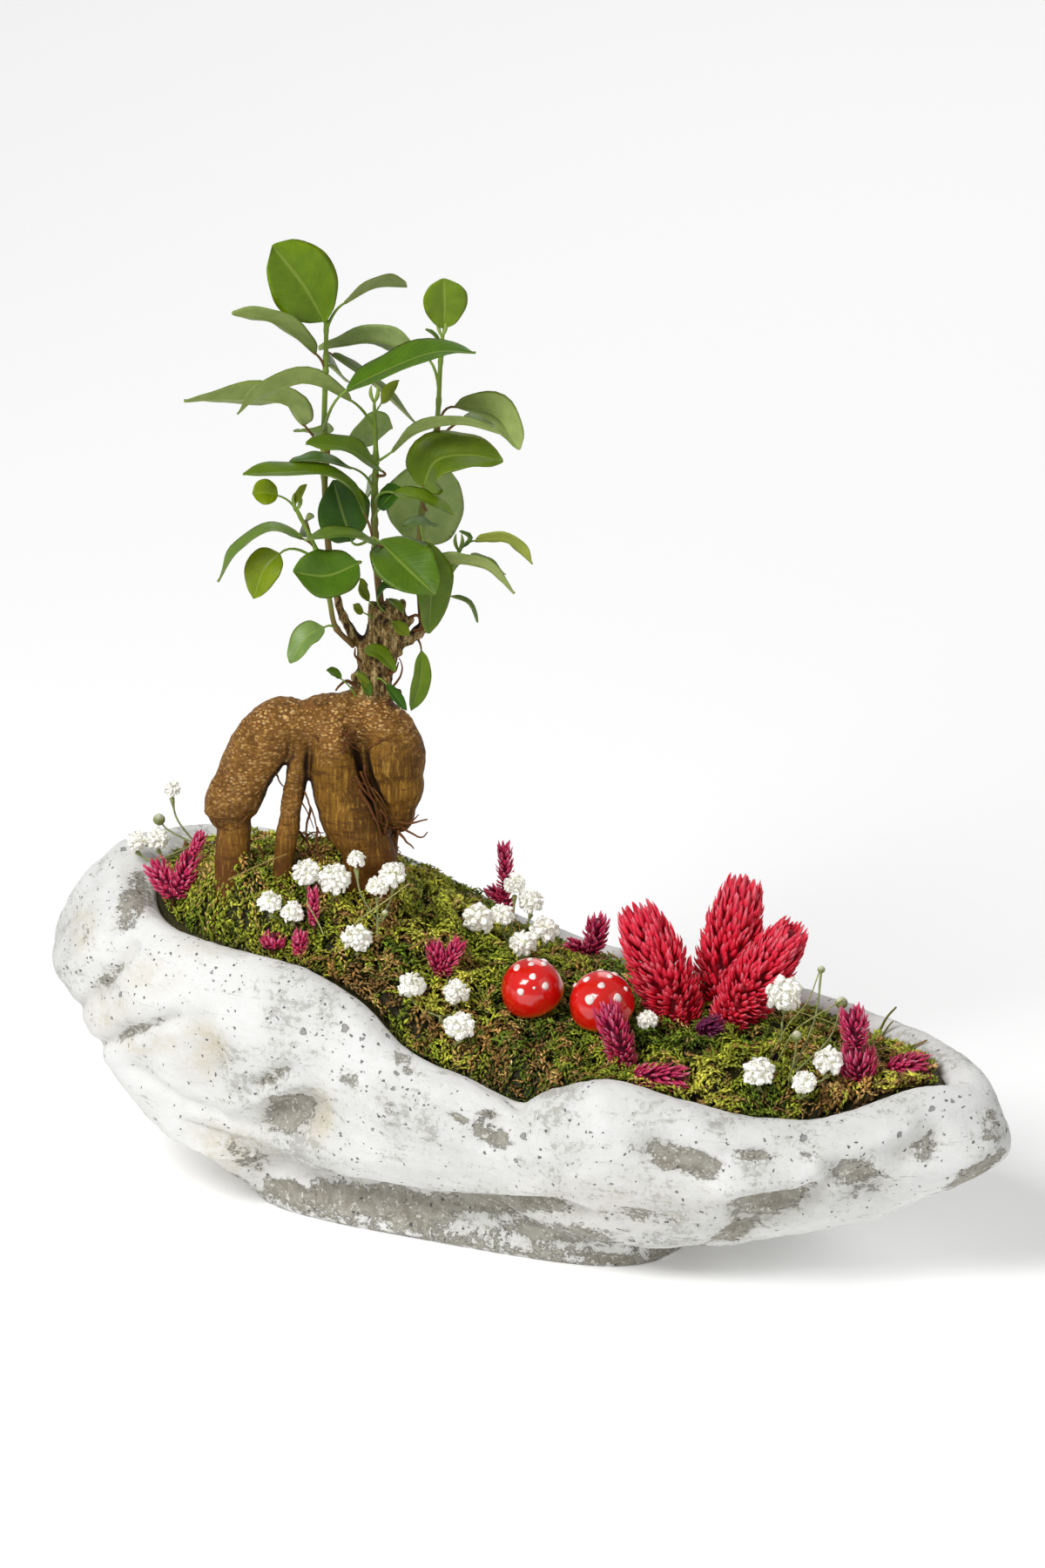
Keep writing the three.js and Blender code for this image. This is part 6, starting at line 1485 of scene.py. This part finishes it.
# Soil: the node as it is, dark and crumbly
def soilFinish():
    material, s = newMaterial("soil")
    crumbs = s.noise(s.place(), 2.2, 6, 0.7)
    s.finish({"Base Color": s.ramp(crumbs, 0.3, 0.7, (30, 22, 16), (74, 56, 40)), "Roughness": 0.95,
              "Normal": s.bump(crumbs, 0.8, 0.9)})
    return material


# White flowers
# Every head is a ball of ruffled petals: each runs out from near the middle and bends over at its end.
blossom = {
    "petals": 74,
    "rows": 4,
    # head name: middle and radius of each flower
    "heads": {
        "flowers_left_end": [[-113.4, 42, 116.3, 4.2], [-120.6, 43, 115, 3.9]],
        "flower_left_high": [[-108.3, 40, 135.6, 3.1]],
        "flowers_left_front": [[-74.1, -14, 115.2, 4.5], [-66.4, -15, 112, 4.3]],
        "flowers_trunk_front": [[-61.6, -5, 122.6, 5.1], [-52, -8, 121.6, 6]],
        "flower_trunk_side": [[-44.4, -10, 129.8, 3.4]],
        "flowers_trunk_right": [[-31.8, -9, 123.8, 5.1], [-37.2, -10.4, 119.6, 4]],
        "flower_front_left": [[-44.1, -20, 104.2, 5.7]],
        "flowers_middle": [[-2.4, 8, 100.3, 5.9], [6, 10, 100.8, 4.4]], "flower_back_a": [[10.2, 23, 107, 4.2]],
        "flower_back_b": [[15.8, 18, 102.4, 4.6]],
        "flowers_middle_right": [[13.2, -2, 95, 4.9], [20.5, 0.5, 99, 5.4]],
        "flower_front_a": [[-25.2, -33, 92, 5.1]], "flower_front_b": [[-9.9, -33, 89.6, 4.9]],
        "flower_front_c": [[-9, -48, 83.2, 5.7]], "flower_shaded": [[55.8, -46, 84.6, 3.9]],
        "flower_right_high": [[102.7, -53.4, 97.4, 6.9]], "flower_right_front": [[93.9, -80, 79.2, 6]],
        "flower_right_low": [[109.5, -86, 78, 4.5]], "flower_right_middle": [[117.8, -77.5, 82.4, 5.5]],
    },
    # stems: root, fork, the heads and the buds they carry
    "sprays": {
        "stems_left": ([-99, 30], [-100, 34, 118], ["flower_left_high", "flowers_left_end"],
                       [[-112.8, 42, 123.4, 2.2]]),
        "stems_trunk_front": ([-57, -1], [-56, -1, 109.6], ["flowers_trunk_front", "flowers_left_front"], []),
        "stems_trunk_right": ([-37, -15], [-37, -14.6, 109], ["flowers_trunk_right", "flower_trunk_side"],
                              [[-34.5, -17.4, 112.6, 1.3]]),
        "stem_front_left": ([-43, -19], [-43.4, -19.4, 97], ["flower_front_left"], []),
        "stems_middle": ([8, 12], [8, 11, 90.5],
                         ["flowers_middle", "flower_back_a", "flower_back_b", "flowers_middle_right"], []),
        "stems_front": ([-15.5, -40], [-15.5, -39, 83.5],
                        ["flower_front_a", "flower_front_b", "flower_front_c"], []),
        "stem_shaded": ([57.5, -45], [57, -45.4, 79], ["flower_shaded"], []),
        "stem_right_high": ([102, -53], [102.2, -53.2, 87], ["flower_right_high"], []),
        "stems_right": ([104, -74], [104.6, -74.6, 75.8],
                        ["flower_right_front", "flower_right_low", "flower_right_middle"],
                        [[115.5, -62, 110, 1.4], [122.4, -64, 98.4, 2.3], [107, -72, 89.3, 2]]),
    },
}


# Directions spread evenly over a ball down to a lowest height
def spread(count, lowest, random):
    k = np.arange(count) + 0.5
    z = 1 - (1 - lowest) * k / count
    angle = k * goldenAngle + random.normal(0, 0.15, count)
    r = np.sqrt(np.maximum(0, 1 - z * z))
    return np.stack([r * np.cos(angle), r * np.sin(angle), z], -1)


def addPetals(bundle, centre, radius, random):
    count = blossom["petals"]
    way = unit(spread(count, -0.55, random) + random.normal(0, 0.1, (count, 3)))
    bend = unit(np.cross(way, unit(random.normal(0, 1, (count, 3)))) + np.array([0, 0, -0.5]))
    bend = unit(bend - way * (bend * way).sum(1, keepdims=True))
    side = np.cross(way, bend)
    s = np.linspace(0.1, 1, blossom["rows"])
    column = s[:, None]
    reach = radius * random.uniform(0.78, 1.05, (count, 1, 1))
    rib = (np.array(centre, float) + way[:, None] * reach * (0.12 + 0.83 * np.sin(column * 1.45))
           + bend[:, None] * (0.3 * radius * column ** 2.4))
    v = np.array([-1, -0.33, 0.33, 1])
    wide = radius * 0.25 * random.uniform(0.75, 1.25, (count, 1)) * (0.3 + 0.9 * s ** 0.8 - 0.3 * s ** 6)
    ruffle = 0.12 * radius * np.sin(v * 5.2 + random.random((count, 1)) * 6)[:, None] * column ** 2
    ruffle = ruffle - 0.12 * radius * (1 - v ** 2) * (1 - column * 0.4)
    drop = 0.10 * radius * np.abs(v) * column ** 3
    top = (rib[:, :, None] + side[:, None, None] * (wide[..., None] * v)[..., None]
           + bend[:, None, None] * ruffle[..., None] - way[:, None, None] * drop[None, ..., None])
    under = top[:, :, -2:0:-1] - np.cross(side, way)[:, None, None] * 0.2
    # greenish cream towards each petal's foot, deep in the head: the flower's own greenish centre and painted shade
    shade = mixed(tint(206, 214, 150), tint(255, 254, 246), smooth(0.1, 0.6, column))
    shade = shade * random.uniform(0.94, 1.0, (count, 1, 1))
    beyond = way * 0.05 * radius
    bundle.addSkins(np.concatenate([top, under], 2), rib[:, 0] - beyond, rib[:, -1] + beyond,
                    shade=shade[:, :, None])


def mossUnder(across, away):
    return float(mossCrown(toRow(np.array([across, away, 0.0]))))


def makeFlowers():
    # the petals glow faintly: painted light that lifts the shade between them
    petalSkin = shadedFinish("white_petal", (1.4, 3), (1, 1, 1), (1, 1, 1), (0.2, 0.5), {
        "Roughness": 0.65, "Emission Color": (1, 0.97, 0.86, 1), "Emission Strength": 0.14})
    stemSkin = shadedFinish("flower_stem", (2.0, 3), (0.6, 0.6, 0.55), (1, 1, 1), (0.1, 0.5), {"Roughness": 0.6})
    random = np.random.default_rng(21)
    for name, flowers in blossom["heads"].items():
        bundle = Bundle()
        for across, away, up, radius in flowers:
            addPetals(bundle, (across, away, up), radius, random)
        makePiece(f"{name}_petals", bundle, petalSkin, [name])
    t = np.linspace(0, 1, 12)
    stemGreen = tint(148, 156, 96) * (0.75 + 0.35 * t[:, None])

    def stem(points, radii):
        widths = np.interp(t, np.linspace(0, 1, len(radii)), radii)
        addTube(bundle, curveThrough(points, t), widths, 7, shade=stemGreen[:, None])

    s = np.linspace(0.06, 0.94, 8)
    budGreen = mixed(tint(140, 150, 84), tint(232, 232, 206), smooth(0.55, 0.95, s)[:, None])
    for name, (root, fork, carried, buds) in blossom["sprays"].items():
        bundle = Bundle()
        fork = np.array(fork, float)
        stem([[*root, mossUnder(*root) - moss["depth"] * 0.7], fork], [0.42, 0.42])
        ends = [(a, b, c - r * 0.8 - 0.84, 1.0, 0.36) for n in carried for a, b, c, r in blossom["heads"][n]]
        ends += [(a, b, c, 0.5, 0.36) for a, b, c, r in buds]
        for across, away, up, endRadius, thin in ends:
            below = min(up - 2.4, (fork[2] + up) / 2)
            bend = [*mixed(fork[:2], np.array([across, away]), 0.8), below]
            stem([fork - [0, 0, 0.5], bend, [across, away, up]], [thin, thin, thin, thin, endRadius])
        for across, away, up, radius in buds:
            line = np.array([across, away, up - radius]) + np.array([0, 0, 2.1 * radius]) * s[:, None]
            addTube(bundle, line, radius * np.sin(pi * s) ** 0.7, 10, shade=budGreen[:, None])
        makePiece(f"{name}_green", bundle, stemSkin, [name])


# Dried sprigs and spikes
# A head is pointed bracts set in a spiral round its axis, lying closer to it towards the tip; each bract
# is a boat-shaped blade from its own place on the axis to the head's outline there.
dried = {
    "sprigs": {
        "sprig_left": [[[-108, 17, 106], [-116, 22, 117.3], 4.4], [[-106, 16, 106], [-101, 17, 122], 3.8],
                       [[-101, 17, 121], [-97, 19, 129], 2.2]],
        "sprig_behind_flower": [[[-59.1, -14, 108], [-59.3, -14, 122], 2.1]],
        "sprig_round": [[[-73.2, -14.8, 100], [-73, -14.8, 105], 4.2]],
        "sprig_front_left": [[[-64.2, -19, 98], [-63.3, -18, 107.8], 2.7]],
        "sprig_centre": [[[-15.5, -18.5, 91], [-18, -17, 103.3], 3.2], [[-14, -18.5, 91], [-8, -16, 103.6], 3]],
        "sprig_back": [[[7.5, 31, 88], [6.6, 31, 120.4], 2.9], [[6.6, 31, 97], [0.8, 29, 104], 2.4]],
        "sprig_back_right": [[[37.8, 25.2, 82], [39.3, 24, 95.5], 4.2], [[36, 24, 81], [28, 19, 87], 2.8]],
        "sprig_front_right": [[[48.3, -62.2, 75], [41, -58.6, 97], 5.4]],
        "sprig_lying": [[[52, -74, 75.6], [71, -76, 75.2], 4.6]],
        "sprig_right": [[[128.4, -72, 74], [127.4, -71, 86.6], 6.4], [[127.8, -71, 86], [125.6, -70, 100.4], 5]],
        "sprig_right_end": [[[139.5, -66, 75], [155, -62, 74.6], 4.7]],
        "sprig_purple": [[[74, -45.4, 80], [82.6, -46.6, 84.6], 3.8]],
    },
    "sprigTones": ((128, 16, 56), (214, 50, 102), (250, 150, 172)),
    "purpleTones": ((70, 16, 50), (112, 34, 82), (150, 70, 120)),
    "spikes": {
        "spike_left": [[[68, -30.6, 78.5], [50.8, -26, 119.6], 10.4]],
        "spike_middle": [[[79.8, -20.6, 78.5], [89.6, -13, 125], 10.2]],
        "spike_right": [[[83.6, -33.6, 78.5], [107.6, -36, 116.6], 9.4]],
    },
    "spikeTones": ((204, 10, 32), (254, 46, 76), (255, 138, 150)),
    # bracts: length, half width, and degrees they lean out at the head's foot and at its tip
    "spikeBract": (6.8, 1.06, 74, 10),
    "sprigBract": (4.2, 0.72, 70, 22),
    "spikeCount": 700,
    "sprigCount": (36, 1.25),     # at least, and more for each square mm of length by radius
    # cores: colour, and length and radius as parts of the head's; then the stalk's colour and radius. A core's dark
    # colour is painted shade deep inside the head.
    "spikeCore": ((150, 12, 36), 0.9, 0.68),
    "sprigCore": ((104, 14, 50), 0.86, 0.5),
    "stalk": ((92, 60, 40), 0.9),
}


def addBracts(bundle, start, end, radius, count, shape, outline, random, tones):
    length, width, low, high = shape
    start = np.array(start, float)
    axis = np.array(end, float) - start
    up = unit(axis)
    side = unit(np.cross([0.8, 0.1, -0.59], up))
    other = np.cross(up, side)
    share = (np.arange(count) + 0.5) / count
    angle = np.arange(count) * goldenAngle + random.normal(0, 0.2, count)
    out = np.cos(angle)[:, None] * side + np.sin(angle)[:, None] * other
    lean = np.radians(low + (high - low) * share + random.normal(0, 7, count))[:, None]
    way = out * np.sin(lean) + up * np.cos(lean)
    long = length * (0.85 + 0.3 * share) * random.uniform(0.8, 1.15, count)
    reach = radius * outline(share) * random.uniform(0.86, 1.06, count)
    tip = start + axis * share[:, None] + out * reach[:, None]
    base = tip - way * long[:, None]
    # a bract starts no further out than it has to, and never on the axis's far side
    offset = base - start - up * ((base - start) @ up)[:, None]
    base = base + out * np.maximum(0, 0.1 * radius - (offset * out).sum(1))[:, None]
    s = np.array([0.06, 0.25, 0.5, 0.75, 0.93])
    path = base[:, None] + (tip - base)[:, None] * s[:, None]
    path = path + (out[:, None] - up * 0.3) * (0.10 * long[:, None] * np.sin(pi * s))[..., None]
    flat = unit(np.cross(way, out + up * 0.2))
    face = np.cross(flat, way)
    wide = width * random.uniform(0.75, 1.2, (count, 1)) * np.sin(pi * s ** 0.8) ** 0.7
    wide = wide[..., None, None]
    turn = (np.arange(4) * pi / 2)[:, None]
    rings = (path[:, :, None] + flat[:, None, None] * wide * np.cos(turn)
             + face[:, None, None] * wide * (0.42 * np.sin(turn) - 0.25 * np.cos(turn) ** 2))
    # dark at each bract's foot deep in the head, light towards its tip: the bract's own paler tip, with painted
    # shade at the foot and painted highlight at the tip
    dark, middle, light = (tint(*shown) for shown in tones)
    draw = random.random((count, 1, 1))
    along = s[:, None]
    colour = mixed(dark, middle, smooth(0.0, 0.55, along + 0.3 * (draw - 0.5)))
    colour = mixed(colour, light, smooth(0.5, 1.15, along * (0.55 + 0.6 * draw)))
    bundle.addSkins(rings, base, tip, shade=colour[:, :, None])


def addCore(bundle, start, end, radius, colour):
    t = np.linspace(0, 1, 8)[:, None]
    line = np.array(start, float) + (np.array(end, float) - start) * t
    addTube(bundle, line, radius * (1 - 0.6 * t[:, 0]), 8, shade=tint(*colour))


# The share of the head's radius that its outline has at u along the axis
def spikeOutline(u):
    return 0.3 + 0.82 * np.sin(pi * (0.22 + 0.7 * u)) ** 0.9


def sprigOutline(u):
    return 0.72 + 0.45 * np.sin(pi * (0.1 + 0.82 * u))


def makeDried():
    random = np.random.default_rng(33)
    for slot, groups in (("dried_magenta", dried["sprigs"]), ("dried_red", dried["spikes"])):
        material = shadedFinish(slot, (0.9, 3), (0.82, 0.7, 0.76), (1, 1, 1), (0.25, 0.7), {
            "Roughness": 0.5, "Subsurface Weight": 0.35, "Subsurface Radius": (1, 0.25, 0.35),
            "Subsurface Scale": 0.002, "Specular IOR Level": 0.3})
        for name, group in groups.items():
            bundle = Bundle()
            for first, last, radius in group:
                axis = np.array(last, float) - first
                kind = "spike" if slot == "dried_red" else "sprig"
                length, *shape = dried[kind + "Bract"]
                count, outline = dried["spikeCount"], spikeOutline
                if kind == "sprig":
                    least, more = dried["sprigCount"]
                    count, outline = int(least + more * np.linalg.norm(axis) * radius), sprigOutline
                    length = length * (0.6 + radius / 9)
                tones = dried["purpleTones" if name == "sprig_purple" else kind + "Tones"]
                addBracts(bundle, first, last, radius, count, (length, *shape), outline, random, tones)
                core, coreLength, coreRadius = dried[kind + "Core"]
                addCore(bundle, first, np.array(first) + axis * coreLength, radius * coreRadius, core)
            root = group[0][0]
            down = [*root[:2], min(root[2] - 1, mossUnder(*root[:2]) - 8)]
            stalkColour, stalkRadius = dried["stalk"]
            addCore(bundle, root, down, stalkRadius, stalkColour)
            makePiece(f"{name}_head", bundle, material, [name])


# Mushrooms
# The cap is a profile turned round its axis; its dots lie on it where they show from the front.
mushrooms = {
    "mushroom_left": {
        "foot": (20.6, -26, 77), "under": (17.6, -29.2, 85.8), "radius": 10.8, "height": 15.2, "stalk": 5,
        "dots": [[-0.44, 0.55, 1.35], [0.44, 0.7, 1.2], [0.05, 0.3, 1.3], [-0.29, -0.17, 1.35], [0.52, -0.02, 1.4],
                 [0.11, -0.05, 0.6], [-0.02, 0.84, 1.1]],
    },
    "mushroom_right": {
        "foot": (43, -35.6, 75), "under": (41, -39, 84.8), "radius": 11.2, "height": 15, "stalk": 4.6,
        "dots": [[-0.45, 0.6, 1.4], [0.27, 0.68, 1.2], [0.02, 0.42, 1.4], [-0.33, 0, 1.9], [0.48, 0.04, 1.7],
                 [0.78, 0.3, 1]],
    },
}
# a dot's dome: share of its size and height at each ring
dotDome = [(1.0, -0.5), (0.94, 0.12), (0.78, 0.34), (0.5, 0.5), (0.22, 0.56)]


# Each dot is found on the cap from where it shows in front, or behind, and a low dome is laid there
def addDots(bundle, cap, under, axis, upper):
    radius = cap["radius"]
    normal = unit(np.cross(np.roll(upper, -1, 1) - np.roll(upper, 1, 1), np.gradient(upper, axis=0)))
    offset = upper - under - axis * cap["height"] * 0.42
    widths, lifts = np.array(dotDome).T
    ring = np.arange(18) * pi / 9
    for facing in (1, -1):
        rise = np.array([0, facing * tiltSin, tiltCos])
        towards = np.array([0, -facing * tiltCos, tiltSin])
        for u, v, size in cap["dots"]:
            if facing < 0 and (u + v) % 0.3 < 0.08:
                continue
            miss = (offset[..., 0] * facing / radius - u) ** 2 + (offset @ rise / radius - v) ** 2
            found = np.unravel_index(np.argmin(miss + 9.0 * (normal @ towards < 0.12)), miss.shape)
            spot, n = upper[found], normal[found]
            a = unit(np.cross(n, [0.2, 0.9, 0.3]))
            b = np.cross(n, a)
            reach = (size * widths)[:, None] * (1 + 0.06 * np.sin(ring * 3 + u * 9))
            sag = (size * widths) ** 2 / (2 * radius)
            dot = (spot + n * (lifts - sag)[:, None, None] + a * (reach * np.cos(ring))[..., None]
                   + b * (reach * np.sin(ring))[..., None])
            bundle.addSkin(dot, spot - n * 0.9, spot + n * 0.58, shade=tint(248, 246, 240))


def makeMushrooms():
    red = shadedFinish("cap_red", (9, 3), (0.86, 0.7, 0.7), (1, 1, 1), (0.5, 0.25), {
        "Roughness": 0.16, "Specular IOR Level": 0.55, "Coat Weight": 0.6, "Coat Roughness": 0.05})
    cream, s = newMaterial("stalk_cream")
    s.finish({"Base Color": s.ramp(s.noise(s.place(), 3, 4), 0.3, 0.7, (196, 184, 150), (230, 222, 198)),
              "Normal": s.bump(s.noise(s.place((1, 1, 0.2)), 1.5, 3), 0.3, 0.6), "Roughness": 0.7})
    turn = (np.arange(72) * pi / 36)[:, None]
    for name, cap in mushrooms.items():
        under = np.array(cap["under"], float)
        axis = unit(under - np.array(cap["foot"], float))
        side = unit(np.cross([0, 1, 0], axis))
        other = np.cross(axis, side)
        radius, height, stalk = cap["radius"], cap["height"], cap["stalk"]
        # distance from the axis and height, from the cap's hollow round its edge to the top
        profile = curveThrough([[0.4, 1.6], [stalk + 0.7, 1.6], [stalk + 1.2, 0.4], [radius * 0.8, -0.6],
                                [radius * 0.97, 1.0], [radius, height * 0.3], [radius * 0.9, height * 0.6],
                                [radius * 0.62, height * 0.87], [radius * 0.3, height * 0.975],
                                [0.5, height]], np.linspace(0, 1, 56))
        r, z = profile.T[:, :, None, None]
        grid = under + side * (r * np.cos(turn)) + other * (r * np.sin(turn)) + axis * z
        shade = mixed(tint(226, 96, 24), tint(222, 20, 12), smooth(0.5, 3.5, profile[:, 1:]))
        shade = np.where((np.arange(56) < 21)[:, None], tint(222, 206, 170), shade)
        bundle = Bundle()
        bundle.addSkin(grid, under + axis * 1.6, under + axis * height, shade=shade[:, None])
        addDots(bundle, cap, under, axis, grid[24:])
        makePiece(f"{name}_cap_painted", bundle, red, [f"{name}_cap"])
        bundle = Bundle()
        t = np.linspace(0, 1, 12)
        foot = np.array(cap["foot"], float) - [0, 0, 5]
        line = foot + (under + axis * 1.2 - foot) * t[:, None]
        rings, _ = tubeRings(line, stalk * (0.8 + 0.2 * t + 0.03 * np.sin(t * 15)), 32)
        bundle.addSkin(rings, line[0] - axis * 0.3, line[-1] + axis * 0.1)
        makePiece(f"{name}_stalk_turned", bundle, cream, [f"{name}_stalk"])


makeMoss()
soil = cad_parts["soil"]
soil.data.materials.clear()
soil.data.materials.append(soilFinish())
print("moss ready")
makeFlowers()
makeDried()
makeMushrooms()
print("planting ready")
